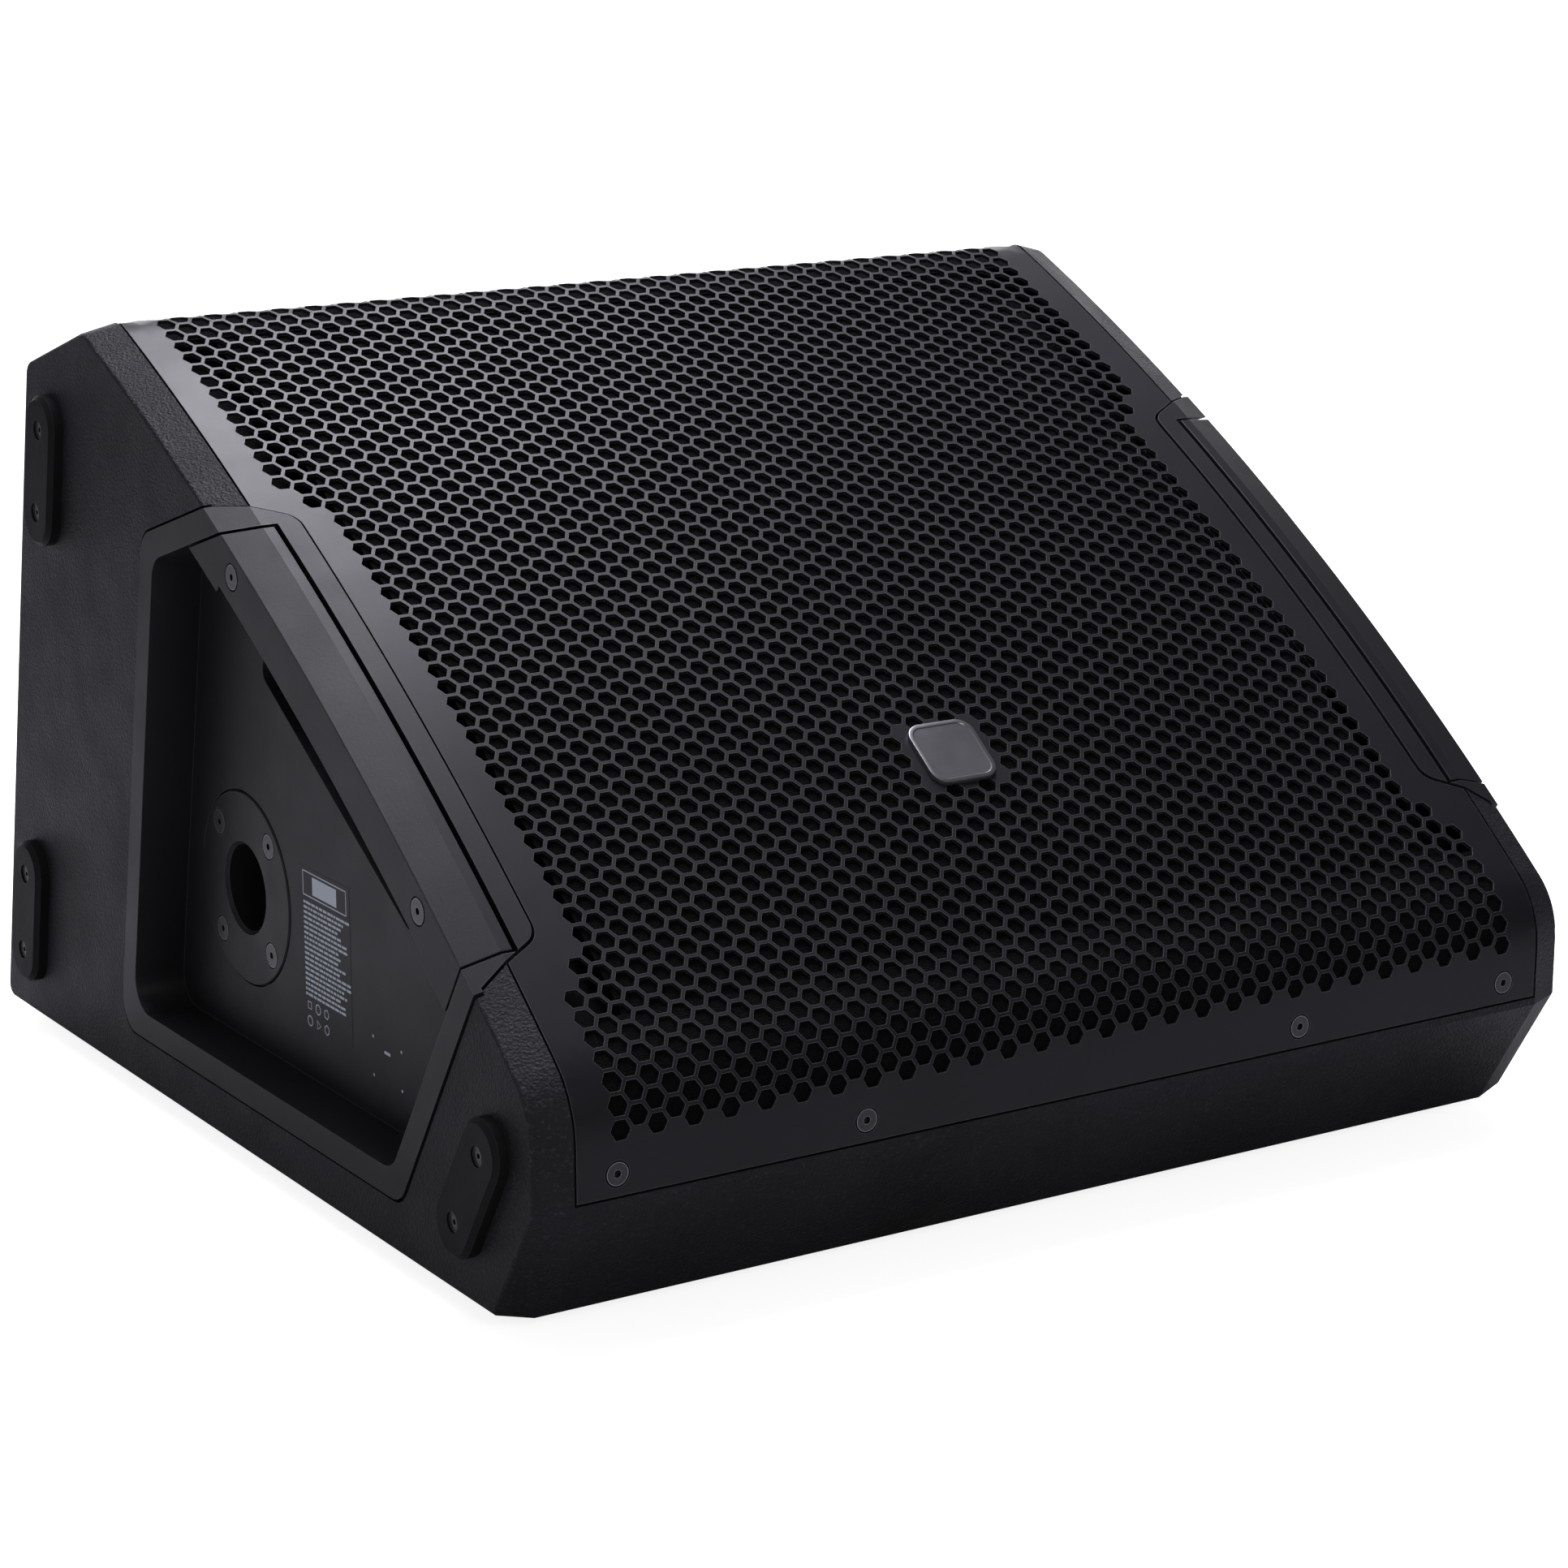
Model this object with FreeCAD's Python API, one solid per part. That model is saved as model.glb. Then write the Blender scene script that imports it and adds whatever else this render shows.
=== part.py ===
"""Active stage monitor wedge: a low slanted cabinet with a coaxial 12-inch loudspeaker.

Millimetres. X runs along the width (the pole socket is on the -X side), -Y is the front,
+Z is up, and the origin is on the floor below the middle of the cabinet. The cabinet is
laid out from its own underside, and every piece is lifted by the foot height when saved.
Pieces of the two cheeks are drawn on the +X side and mirrored where the left one is meant.
"""
import FreeCAD, Part
import math
import os
from FreeCAD import Vector

# ---------------------------------------------------------------- cabinet
CABINET_W = 490.0
CABINET_D = 498.5          # front lip to the rounded rear foot
CABINET_H = 325.7          # crest line, before its edge is rounded
WALL = 15.0                # plywood of every panel
CREST_FROM_BACK = 122.05   # crest line to the rear foot
TOP_FALL = 19.0            # degrees, the top facet falls to the rear
BACK_LEAN = 10.6           # degrees, the back face leans forwards
FACE_R = 1438.0            # long convex curve of the baffle side
BEND_R = 36.5              # tight bend from the slope into the front lip
LIP_TOP_Z = 75.8           # where the bend ends and the vertical lip starts
CHAMFER_TOP_Z = 50.0       # lower edge of the lip
CHAMFER_ANGLE = 58.0       # degrees above the floor, undercut below the lip
CLEAT_W = 20.0
CLEAT_HALF = 190.0
CLEAT_DOWN = (-188.0, 196.0)
CREST_R = 12.0
REAR_TOP_R = 10.0
REAR_FOOT_R = 8.0
CHEEK_BEVEL = 5.0          # drop of the bevel from the slope to the cheek
CHEEK_BEVEL_REAR = 3.0     # the same along the top, back and underside
CHEEK_EDGE_R = 1.5
TOP_NOSE = 13.0            # top panel in front of the crest line
RAIL_TOP_Z = 92.0

# ---------------------------------------------------------------- grille
GRILLE_T = 1.5
GRILLE_GAP = 1.0           # dark line round the sheet
GRILLE_LOW_Z = 54.0
GRILLE_TAIL = 16.0         # flange behind the crest
FOAM_T = 3.0
FOAM_BACKSET = 0.5
FOAM_HALF_W = 194.0
GRILLE_SCREW_X = (104.0, 212.0)
GRILLE_SCREW_Z = 62.5
BADGE_SIZE = 31.0
BADGE_T = 2.0
BADGE_R = 7.0
BADGE_DOWN = 107.5         # from the middle of the slope

# ---------------------------------------------------------------- handle cups
TRIM_TO_BACK = 127.0
TRIM_TO_TOP = 92.5
TRIM_BASE_Z = 24.0
TRIM_TO_CHAMFER = 77.0
TRIM_R = 13.0
TRIM_FACE = 11.5           # visible width of the rim
TRIM_PROUD = 0.6
CUP_T = 3.0
CUP_GAP = 1.2              # dark line round the rim and round the grip bar
FIT_GAP = 0.4              # hidden clearance round what drops into the cabinet
RECESS_DEPTH = 22.0
RECESS_R = 6.0
PAD_W = 16.5               # rim on the slope, in from the cheek bevel
PAD_SLANT = 0.55           # its ends run out towards the cheek
PAD_R = 9.0
SHOULDER_T = 3.5
BAR_THICK = 21.0           # grip bar across the cabinet's width
GRIP_DEPTH = 24.6          # grip bar below the slope
GRIP_END_DEPTH = 28.2
GRIP_UP = -53.7            # slender part of the grip bar, down the slope from its middle
GRIP_DOWN = 130.3
GRIP_RAMP = 12.0
BAR_SCREW_DEPTH = 13.8
BAR_SCREWS = (-52.8, 128.3)
POCKET_DEEP = 22.0         # finger pocket behind the floor of the recess
POCKET_UP = -49.7
POCKET_DOWN = 100.3
POCKET_REACH = 67.0        # its lower edge, below the slope

# ---------------------------------------------------------------- pole socket and plate
POLE_BORE_R = 18.25
POLE_TUBE_R = 21.0
POLE_DEPTH = 85.0
POLE_FLANGE_R = 40.8
POLE_FLANGE_T = 3.0
POLE_PROUD = 0.6           # flange lies almost flush in the recess floor
POLE_BACKING = 4.0         # rim of the backing disc round the flange
POLE_PCD = 65.5
POLE_Y = 34.5
POLE_Z = 101.8
PLATE_W = 44.0
PLATE_H = 65.5
PLATE_T = 0.4
PLATE_Y = -38.2
PLATE_Z = 92.0

# ---------------------------------------------------------------- bumpers and feet
BUMPER_L = 67.0
BUMPER_W = 27.0
BUMPER_T = 6.5
BUMPER_EDGE = 2.0
BUMPER_SCREWS = 37.3
BUMPER_TO_BACK = 32.0
BUMPER_TO_CHAMFER = 37.6
BUMPER_Z = (52.2, 257.5)
BUMPER_FRONT_Z = 50.5
FOOT_R = 19.0
FOOT_H = 5.0
FOOT_INSET = 52.0

# ---------------------------------------------------------------- loudspeaker
BAFFLE_BACKSET = 26.0      # front of the baffle below the middle of the slope
DRIVER_R = 157.5
DRIVER_HOLE_R = 141.0
RIM_T = 4.5
GASKET_T = 1.5
CONE_R = 122.0
CONE_T = 1.2
CONE_RIM = 3.2
CONE_NECK = -60.0
NECK_R = 27.0
COIL_R = 26.6
COIL_T = 1.0
COIL_END = -104.0
COIL_COLLAR = 20.0         # thicker top of the coil former, glued in the cone
COIL_CLEARANCE = 1.2
BASKET_FLOOR = -92.0
BASKET_NECK_R = 84.0
BASKET_T = 3.0
BASKET_SPOKES = 6
BASKET_FOOT_R = 40.0
WINDOW_W = 78.0            # opening between two spokes
WINDOW_LOW = 28.0          # its lower and upper edge, above the basket's floor
WINDOW_TOP = 48.0
RIM_LAND = 4.0             # rim inside the baffle's opening
SURROUND_RISE = 7.5        # height of the half roll
SPIDER_UP = 18.0           # spider above the basket's floor
SPIDER_WAVE = 2.5
SPIDER_T = 1.0
SPIDER_FOLDS = 12
TOP_PLATE_T = 8.0
MAGNET_R = 85.0
MAGNET_BORE_R = 45.0
MAGNET_T = 22.0
BACK_PLATE_T = 8.0
IRON_R = 78.0
POLE_PIECE_R = 24.5
THROAT_R = 12.0
HORN_MOUTH_R = 50.0
HORN_MOUTH = -18.0
HORN_STEM_R = 23.5
HORN_FLARE = -46.0
HORN_T = 2.0
HORN_KNEE_R = 36.0
HORN_KNEE = -32.0
HF_BODY_R = 42.0
HF_BODY_L = 34.0
HF_WALL = 4.0              # front wall of its chamber
HF_CHAMBER = 10.0          # closed end behind the dome
DOME_RIM = 22.0
DOME_H = 9.0
DOME_T = 1.0
DRIVER_SCREWS = 8
DRIVER_SCREW_R = 149.5
PORT_R = 28.0
PORT_WALL = 2.5
PORT_L = 90.0
PORT_FLANGE_R = 36.0
PORT_X = 158.0
PORT_UP = -152.0

# ---------------------------------------------------------------- amplifier panel
PANEL_T = 2.0
PANEL_MARGIN = 7.0
PANEL_LIP = 8.0            # panel resting on the recess floor
ROW_Z = 76.0               # row of sockets
ROW_PITCH = 36.0
ROW_Y = -98.0              # first socket of the row
CONTROL_Z = 116.0          # row of knobs
LIGHT_Z = 142.0
LIGHT_Y = (-12.0, 0.0, 12.0, 24.0)
SOCKET_W = 26.0
SOCKET_H = 33.0
SOCKET_T = 2.5
SOCKET_MOUTH_R = 11.0
SOCKET_BODY_R = 12.4
SOCKET_BODY_L = 26.0
LATCH_W = 8.0
LATCH_H = 3.0
LATCH_L = 7.0
LATCH_UP = 13.4
LATCH_PROUD = 2.5
LATCH_TRAVEL = 1.5
KNOB_R = 7.5
KNOB_L = 13.0
KNOB_Y = (-62.0, -26.0)
SHAFT_R = 3.0
BUTTON_R = 4.0
BUTTON_L = 8.0
BUTTON_TRAVEL = 1.2
BUTTON_Y = 10.0
LIGHT_R = 1.5
INLET_W = 48.0
INLET_H = 27.5
INLET_MOUTH_W = 25.0
INLET_MOUTH_H = 17.0
INLET_DEEP = 20.0
INLET_Y = 44.0
ROCKER_W = 13.0
ROCKER_H = 18.4
ROCKER_FRAME = 2.5
ROCKER_TILT = 10.0         # each way from level
ROCKER_DEEP = 12.0
BOARD_T = 1.6
BOARD_X = 190.0            # inner face of the circuit board
STANDOFF_R = 3.0
TOROID_R = 30.0
TOROID_T = 22.0
TOROID_BORE_R = 8.0
TOROID_YZ = (30.0, 95.0)
SINK_YZ = (-70.0, 88.0)
SINK_W = 60.0
SINK_H = 36.0
SINK_BASE = 6.0
FIN_L = 20.0
FIN_T = 2.0
FINS = 9
CAP_R = 9.0
CAP_L = 28.0
CAP_Y = -20.0
CAP_Z = (65.0, 87.0, 109.0)
POT_W = 16.0
POT_DEEP = 9.0
SHAFT_FIT = 0.05           # turning fit of a knob's shaft, on the radius
BUTTON_PROUD = 3.0
BUTTON_SWITCH_W = 10.0
BUTTON_SWITCH_L = 5.0
PIN_R = 1.2
PIN_CIRCLE = 5.0
LINK_DEPTH = 18.0
SOCKET_SCREWS = ((-9.7, 13.0), (9.7, -13.0))
BLADE_W = 2.0
BLADE_H = 4.0
BLADES = ((-7.0, -2.0), (0.0, 2.5), (7.0, -2.0))
INLET_SCREWS = (-20.0, 20.0)
INLET_WALL = 2.0
SHORT_SCREW = 6.5          # length of the screws of the panel sockets
PANEL_SCREW = 7.0
MOTION_GAP = 0.35          # between a moving piece and what surrounds it

SCREW_M5_R = 2.5
SCREW_M5_HEAD_R = 5.0
SCREW_M4_R = 2.0
SCREW_M4_HEAD_R = 4.0
SCREW_M3_R = 1.5
SCREW_M3_HEAD_R = 2.9
SOCKET_SHARE = 0.6         # key socket over the shank's radius
WELL_GAP = 0.7             # ring-shaped groove round a visible screw head
WELL_DEPTH = 1.0

# ---------------------------------------------------------------- worked out from the above
CHEEK_X = CABINET_W / 2
SHOULDER_X = CHEEK_X - WALL
FRONT_Y = -CABINET_D / 2
REAR_Y = CABINET_D / 2
CREST_Y = REAR_Y - CREST_FROM_BACK
RECESS_X = CHEEK_X - RECESS_DEPTH
POCKET_X = RECESS_X - POCKET_DEEP
PAD_X = SHOULDER_X - PAD_W
BAR_X = CHEEK_X - BAR_THICK   # inner side of the grip bar
PANEL_X = RECESS_X + PANEL_T
POLE_FACE_X = RECESS_X + POLE_PROUD
POLE_SEAT_X = POLE_FACE_X - POLE_FLANGE_T


# ================================================================ plane geometry
def unit(angle):
    """Direction in the side view, measured from +Y towards +Z, in degrees."""
    return (math.cos(math.radians(angle)), math.sin(math.radians(angle)))


def along(point, direction, distance):
    """Point moved along a direction of the side view."""
    return (point[0] + direction[0] * distance, point[1] + direction[1] * distance)


def meet(first, second):
    """Crossing of two lines, each given as a point and a direction."""
    (p, d), (q, e) = first, second
    cross = d[0] * e[1] - d[1] * e[0]
    step = ((q[0] - p[0]) * e[1] - (q[1] - p[1]) * e[0]) / cross
    return along(p, d, step)


def shifted(line, distance):
    """Line moved to its left-hand side."""
    point, direction = line
    return (along(point, (-direction[1], direction[0]), distance), direction)


def corner_arc(before, corner, after, radius):
    """Start, middle and end of the arc that rounds a corner."""
    a = unit_between(corner, before)
    b = unit_between(corner, after)
    half = math.acos(max(-1.0, min(1.0, a[0] * b[0] + a[1] * b[1]))) / 2
    reach = radius / math.tan(half)
    middle = unit_between((0.0, 0.0), (a[0] + b[0], a[1] + b[1]))
    centre = along(corner, middle, radius / math.sin(half))
    return (along(corner, a, reach), along(centre, middle, -radius), along(corner, b, reach))


def unit_between(start, end):
    """Unit direction from one point to another."""
    length = math.hypot(end[0] - start[0], end[1] - start[1])
    return ((end[0] - start[0]) / length, (end[1] - start[1]) / length)


def arc_centres():
    """Centres of the tight bend and of the long curve, which meet without a corner."""
    bend = (FRONT_Y + BEND_R, LIP_TOP_Z)
    crest = (CREST_Y, CABINET_H)
    span = math.hypot(crest[0] - bend[0], crest[1] - bend[1])
    reach = (FACE_R ** 2 - (FACE_R - BEND_R) ** 2 + span ** 2) / (2 * span)
    height = math.sqrt(FACE_R ** 2 - reach ** 2)
    chord = unit_between(crest, bend)
    foot = along(crest, chord, reach)
    face = along(foot, (-chord[1], chord[0]), height)
    return bend, face


BEND_C, FACE_C = arc_centres()


def slope_frame():
    """Middle of the slope, its downhill direction and its outward normal in the side view."""
    top = unit_between(FACE_C, (CREST_Y, CABINET_H))
    low = unit_between(FACE_C, BEND_C)
    outward = unit_between((0.0, 0.0), (top[0] + low[0], top[1] + low[1]))
    downhill = (-outward[1], outward[0])
    return along(FACE_C, outward, FACE_R), downhill, outward


MIDDLE, DOWNHILL, OUTWARD = slope_frame()


def on_slope(down, depth):
    """Side-view point given by its place along the slope and its depth below it."""
    return along(along(MIDDLE, DOWNHILL, down), OUTWARD, -depth)


def below_curve(down, depth):
    """Side-view point at a depth below the curved slope itself."""
    sag = FACE_R - math.sqrt(FACE_R ** 2 - down ** 2)
    return on_slope(down, depth + sag)


FACET = ((CREST_Y, CABINET_H), unit(-TOP_FALL))
FOOT_SWELL = math.tan(math.radians(BACK_LEAN)) + 1.0 / math.cos(math.radians(BACK_LEAN)) - 1.0
BACK = ((REAR_Y + REAR_FOOT_R * FOOT_SWELL, 0.0), unit(90.0 + BACK_LEAN))
CHAMFER = ((FRONT_Y, CHAMFER_TOP_Z), unit(-CHAMFER_ANGLE))
LIP = ((FRONT_Y, 0.0), (0.0, 1.0))
SLOPE = (MIDDLE, DOWNHILL)


# ================================================================ solids from outlines
def edges_through(stops, x):
    """Wire at one x through stops, each a plain corner or the three points of an arc."""
    spots = [stop if len(stop) == 3 else (stop, stop, stop) for stop in stops]
    edges = []
    for index, (start, middle, end) in enumerate(spots):
        a, m, b = (Vector(x, p[0], p[1]) for p in (start, middle, end))
        if (b - a).Length > 1e-6:
            edges.append(Part.Arc(a, m, b).toShape())
        following = spots[(index + 1) % len(spots)][0]
        n = Vector(x, following[0], following[1])
        if (n - b).Length > 1e-6:
            edges.append(Part.LineSegment(b, n).toShape())
    return Part.Wire(edges)


def rounded(corners, radius, x):
    """Wire of a polygon whose corners are rounded by one radius, or by one radius each."""
    count = len(corners)
    radii = radius if isinstance(radius, (list, tuple)) else [radius] * count
    stops = []
    for index, corner in enumerate(corners):
        before = corners[index - 1]
        after = corners[(index + 1) % count]
        rounding = radii[index]
        stops.append(corner_arc(before, corner, after, rounding) if rounding > 0 else corner)
    return edges_through(stops, x)


def extruded(wire, length):
    """Solid swept along X from a wire."""
    return Part.Face(wire).extrude(Vector(length, 0, 0))


def prism(corners, x0, x1, radius=0.0):
    """Prism along X over a side-view polygon."""
    return extruded(rounded(corners, radius, x0), x1 - x0)


def cabinet_outline(x, inset=0.0, rear_inset=None):
    """Side outline of the cabinet, moved inwards along the front and along the rear."""
    rear = inset if rear_inset is None else rear_inset
    face_r = FACE_R - inset
    facet = shifted(FACET, -rear)
    back = shifted(BACK, rear)
    chamfer = shifted(CHAMFER, inset)
    lip = shifted(LIP, -inset)
    ground = ((0.0, rear), (1.0, 0.0))
    crest_r = max(CREST_R - rear, 1.0)
    line, heading = shifted(facet, -crest_r)
    towards = (FACE_C[0] - line[0], FACE_C[1] - line[1])
    nearest = towards[0] * heading[0] + towards[1] * heading[1]
    off = math.hypot(*towards) ** 2 - nearest ** 2
    crest_c = along(line, heading, nearest - math.sqrt((face_r - crest_r) ** 2 - off))
    up = unit_between(FACE_C, crest_c)
    over = (-facet[1][1], facet[1][0])
    mid = unit_between((0.0, 0.0), (up[0] + over[0], up[1] + over[1]))
    crest = tuple(along(crest_c, ray, crest_r) for ray in (over, mid, up))
    bend_up = unit_between(FACE_C, BEND_C)
    bend_mid = unit_between((0.0, 0.0), (bend_up[0] - 1.0, bend_up[1]))
    bend_r = BEND_R - inset
    bend = tuple(along(BEND_C, ray, bend_r) for ray in (bend_up, bend_mid, (-1.0, 0.0)))
    face_mid = unit_between((0.0, 0.0), (up[0] + bend_up[0], up[1] + bend_up[1]))
    front_foot = meet(ground, chamfer)
    front_knee = meet(chamfer, lip)
    rear_foot = meet(ground, back)
    rear_top = meet(facet, back)
    face = (crest[2], along(FACE_C, face_mid, face_r), bend[0])
    rear_top_arc = corner_arc(rear_foot, rear_top, crest[0], max(REAR_TOP_R - rear, 1.0))
    rear_foot_arc = corner_arc(front_foot, rear_foot, rear_top, max(REAR_FOOT_R - rear, 1.0))
    return edges_through([front_foot, rear_foot_arc, rear_top_arc, crest, face, bend, front_knee], x)


def cabinet_slice(x0, x1, inset=0.0, rear_inset=None):
    """Cabinet outline swept between two x."""
    return extruded(cabinet_outline(x0, inset, rear_inset), x1 - x0)


def cheek_slice(proud=0.0):
    """The +X cheek: its outline shrinks by the bevel from the shoulder to the outer face."""
    inner = cabinet_outline(SHOULDER_X, -proud)
    outer = cabinet_outline(CHEEK_X + proud, CHEEK_BEVEL - proud, CHEEK_BEVEL_REAR - proud)
    return Part.makeLoft([inner, outer], True, True)


def mirrored(shape):
    """The same piece on the -X side."""
    return shape.mirror(Vector(0, 0, 0), Vector(1, 0, 0))


def joined(shapes):
    """One solid from overlapping or touching solids."""
    shapes = list(shapes)
    return shapes[0].multiFuse(shapes[1:]).removeSplitter()


def without(shape, cutters):
    """Solid with several others removed."""
    return shape.cut(list(cutters))


def group(shapes):
    """Separate solids kept in one node."""
    return Part.Compound([solid for shape in shapes for solid in shape.Solids])


def rod(radius, x0, x1, y, z):
    """Cylinder along X."""
    return Part.makeCylinder(radius, abs(x1 - x0), Vector(min(x0, x1), y, z), Vector(1, 0, 0))


def block(x0, x1, y0, y1, z0, z1):
    """Box between two corners."""
    return Part.makeBox(x1 - x0, y1 - y0, z1 - z0, Vector(x0, y0, z0))


def screw(tip, outward, shank_r, head_r, length):
    """Countersunk screw with its head flush at tip: the blank, and the key socket to cut from it."""
    head = Part.makeCone(head_r, shank_r, head_r - shank_r, tip, -outward)
    shank = Part.makeCylinder(shank_r, length, tip, -outward)
    socket = Part.makeCylinder(shank_r * SOCKET_SHARE, shank_r, tip, -outward)
    return Part.Compound([joined([head, shank]), socket])


def blanks(screws):
    """The screws without their sockets, which are also the holes that they fill."""
    return [part.Solids[0] for part in screws]


def finished(screws):
    """The screws with their sockets, in one node."""
    return group([part.Solids[0].cut(part.Solids[1]) for part in screws])


def slope_prism(corners, radius, low, high):
    """Prism square to the slope over (x, distance down the slope) corners."""
    count = len(corners)
    stops = [corner_arc(corners[i - 1], corners[i], corners[(i + 1) % count], radius[i])
             if radius[i] > 0 else corners[i] for i in range(count)]
    edges = []
    for index, stop in enumerate(stops):
        spots = stop if len(stop) == 3 else (stop,)
        points = [slope_point(p[0], p[1], low) for p in spots]
        if len(points) == 3:
            edges.append(Part.Arc(*points).toShape())
        following = stops[(index + 1) % count]
        first = following[0] if len(following) == 3 else following
        edges.append(Part.LineSegment(points[-1], slope_point(first[0], first[1], low)).toShape())
    rise = Vector(0, OUTWARD[0], OUTWARD[1]) * (high - low)
    return Part.Face(Part.Wire(edges)).extrude(rise)


def slope_point(x, down, height=0.0):
    """Point over the slope's tangent plane."""
    y, z = on_slope(down, -height)
    return Vector(x, y, z)


def on_driver_axis(shape):
    """Shape drawn about +Z, moved so that its origin is the driver's seat on the baffle."""
    seat = slope_point(0.0, 0.0, -BAFFLE_BACKSET)
    turn = FreeCAD.Rotation(Vector(0, 0, 1), Vector(0, OUTWARD[0], OUTWARD[1]))
    moved = shape.copy()
    moved.Placement = FreeCAD.Placement(seat, turn)
    return moved


def turned(profile):
    """Solid of revolution about +Z from (radius, height) corners."""
    points = [Vector(r, 0, h) for r, h in profile]
    wire = Part.makePolygon(points + points[:1])
    return Part.Face(wire).revolve(Vector(0, 0, 0), Vector(0, 0, 1), 360)


def save(name, shape):
    """Write one node, standing on its feet."""
    lifted = shape.copy()
    lifted.translate(Vector(0, 0, FOOT_H))
    lifted.exportStep("parts/%s.step" % name)


# ================================================================ outlines on the cheeks
def trim_corners(inset):
    """Corners of the rim of a handle cup; the side towards the slope stays open beyond it."""
    top = shifted(FACET, -TRIM_TO_TOP - inset)
    back = shifted(BACK, TRIM_TO_BACK + inset)
    base = ((0.0, TRIM_BASE_Z + inset), (1.0, 0.0))
    front = shifted(CHAMFER, TRIM_TO_CHAMFER + inset)
    beyond = shifted(SLOPE, -CABINET_H / 12)
    return [meet(base, front), meet(base, back), meet(back, top), meet(top, beyond), meet(beyond, front)]


def trim_prism(inset, x0, x1, radius=TRIM_R):
    """Prism over the rim outline."""
    return prism(trim_corners(inset), x0, x1, [radius, radius, radius, 0.0, 0.0])


def down_where(line, depth):
    """Distance down the slope at which a side-view line reaches a depth below the curve."""
    sag = 0.0
    down = 0.0
    for _ in range(5):
        spot = meet(line, shifted(SLOPE, depth + sag))
        down = (spot[0] - MIDDLE[0]) * DOWNHILL[0] + (spot[1] - MIDDLE[1]) * DOWNHILL[1]
        sag = FACE_R - math.sqrt(FACE_R ** 2 - down ** 2)
    return down


def pad_prism(gap):
    """Region of the rim that lies on the slope, square to it."""
    top = down_where(shifted(FACET, -TRIM_TO_TOP), CHEEK_BEVEL) - gap
    base = down_where(shifted(CHAMFER, TRIM_TO_CHAMFER), CHEEK_BEVEL) + gap
    inner = PAD_X - gap
    outer = CHEEK_X + WALL
    rise = PAD_SLANT * (CHEEK_X - inner)
    fall = PAD_SLANT * WALL
    corners = [(inner, top + rise), (outer, top - fall), (outer, base + fall), (inner, base - rise)]
    return slope_prism(corners, [PAD_R, 0.0, 0.0, PAD_R], -4 * WALL, 4 * WALL)


# ================================================================ cabinet
def grille_band(outer, inner, half_w, gap=0.0):
    """Sheet that follows the cabinet outline from the lip over the slope to behind the crest."""
    band = cabinet_slice(-half_w, half_w, outer).cut(cabinet_slice(-half_w, half_w, inner))
    below = block(-CABINET_W, CABINET_W, 2 * FRONT_Y, 2 * REAR_Y, -WALL, GRILLE_LOW_Z - gap)
    behind = block(-CABINET_W, CABINET_W, CREST_Y + GRILLE_TAIL + gap, 2 * REAR_Y, -WALL, 2 * CABINET_H)
    under = block(-CABINET_W, CABINET_W, FRONT_Y + BEND_R, CREST_Y + WALL, -WALL, LIP_TOP_Z)
    return without(band, [below, behind, under])


def pocket_prism(grow):
    """Space for the fingers behind the grip bar, grown by a wall."""
    corners = [(POCKET_UP, 0.0), (POCKET_DOWN, 0.0), (POCKET_DOWN, POCKET_REACH), (POCKET_UP, POCKET_REACH)]
    signs = [(-1, -1), (1, -1), (1, 1), (-1, 1)]
    spots = [on_slope(down + grow * a, depth + grow * b) for (down, depth), (a, b) in zip(corners, signs)]
    space = prism(spots, POCKET_X - grow, RECESS_X, RECESS_R + grow)
    return space.common(cabinet_slice(POCKET_X - grow, RECESS_X, SHOULDER_T + CUP_T - grow))


def cup_envelope():
    """Space that a handle cup takes from the +X side of the cabinet, with its gap."""
    rim = trim_prism(-CUP_GAP, CHEEK_X - CUP_T - FIT_GAP, CHEEK_X + WALL)
    tub = trim_prism(TRIM_FACE - CUP_T - FIT_GAP, RECESS_X - CUP_T - FIT_GAP, CHEEK_X)
    shoulder = pad_prism(CUP_GAP).common(trim_prism(-CUP_GAP, PAD_X - CUP_GAP, CHEEK_X + WALL))
    core = cabinet_slice(PAD_X - WALL, CHEEK_X + WALL, SHOULDER_T + CHEEK_BEVEL + FIT_GAP)
    return joined([rim, tub, pocket_prism(CUP_T + FIT_GAP), shoulder.cut(core)])


def handle_cup():
    """Moulded cup of the +X side: rim, shoulder on the slope, recess and finger pocket."""
    cheek = cheek_slice(TRIM_PROUD)
    rim = trim_prism(0.0, CHEEK_X - CUP_T, CHEEK_X + WALL).common(cheek)
    roof = joined([cabinet_slice(PAD_X, SHOULDER_X, -TRIM_PROUD), cheek])
    slim = cabinet_slice(PAD_X - 1.0, SHOULDER_X, SHOULDER_T)
    deep = cabinet_slice(SHOULDER_X, CHEEK_X - CUP_T, SHOULDER_T + CHEEK_BEVEL)
    region = pad_prism(0.0).common(trim_prism(0.0, PAD_X, CHEEK_X + WALL))
    shoulder = without(roof.common(region), [slim, deep])
    tub = trim_prism(TRIM_FACE - CUP_T, RECESS_X - CUP_T, CHEEK_X - CUP_T).common(roof_under(TRIM_PROUD))
    under_grille = cabinet_slice(POCKET_X - WALL, CHEEK_X, GRILLE_T + FIT_GAP)
    tub = joined([tub.common(under_grille), tub.common(pad_prism(0.0))])
    cup = joined([rim, shoulder, tub, pocket_prism(CUP_T)])
    bosses = [rod(SCREW_M5_HEAD_R + 1.5, RECESS_X - CUP_T, BAR_X, *below_curve(down, BAR_SCREW_DEPTH))
              for down in BAR_SCREWS]
    hollow = joined([trim_prism(TRIM_FACE, RECESS_X, CHEEK_X + WALL), pocket_prism(0.0)])
    return joined([cup.cut(hollow)] + bosses)


def roof_under(proud):
    """Everything of the +X side below its outer skin, from the pad outwards."""
    return joined([cabinet_slice(POCKET_X - WALL, SHOULDER_X, -proud), cheek_slice(proud)])


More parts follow.
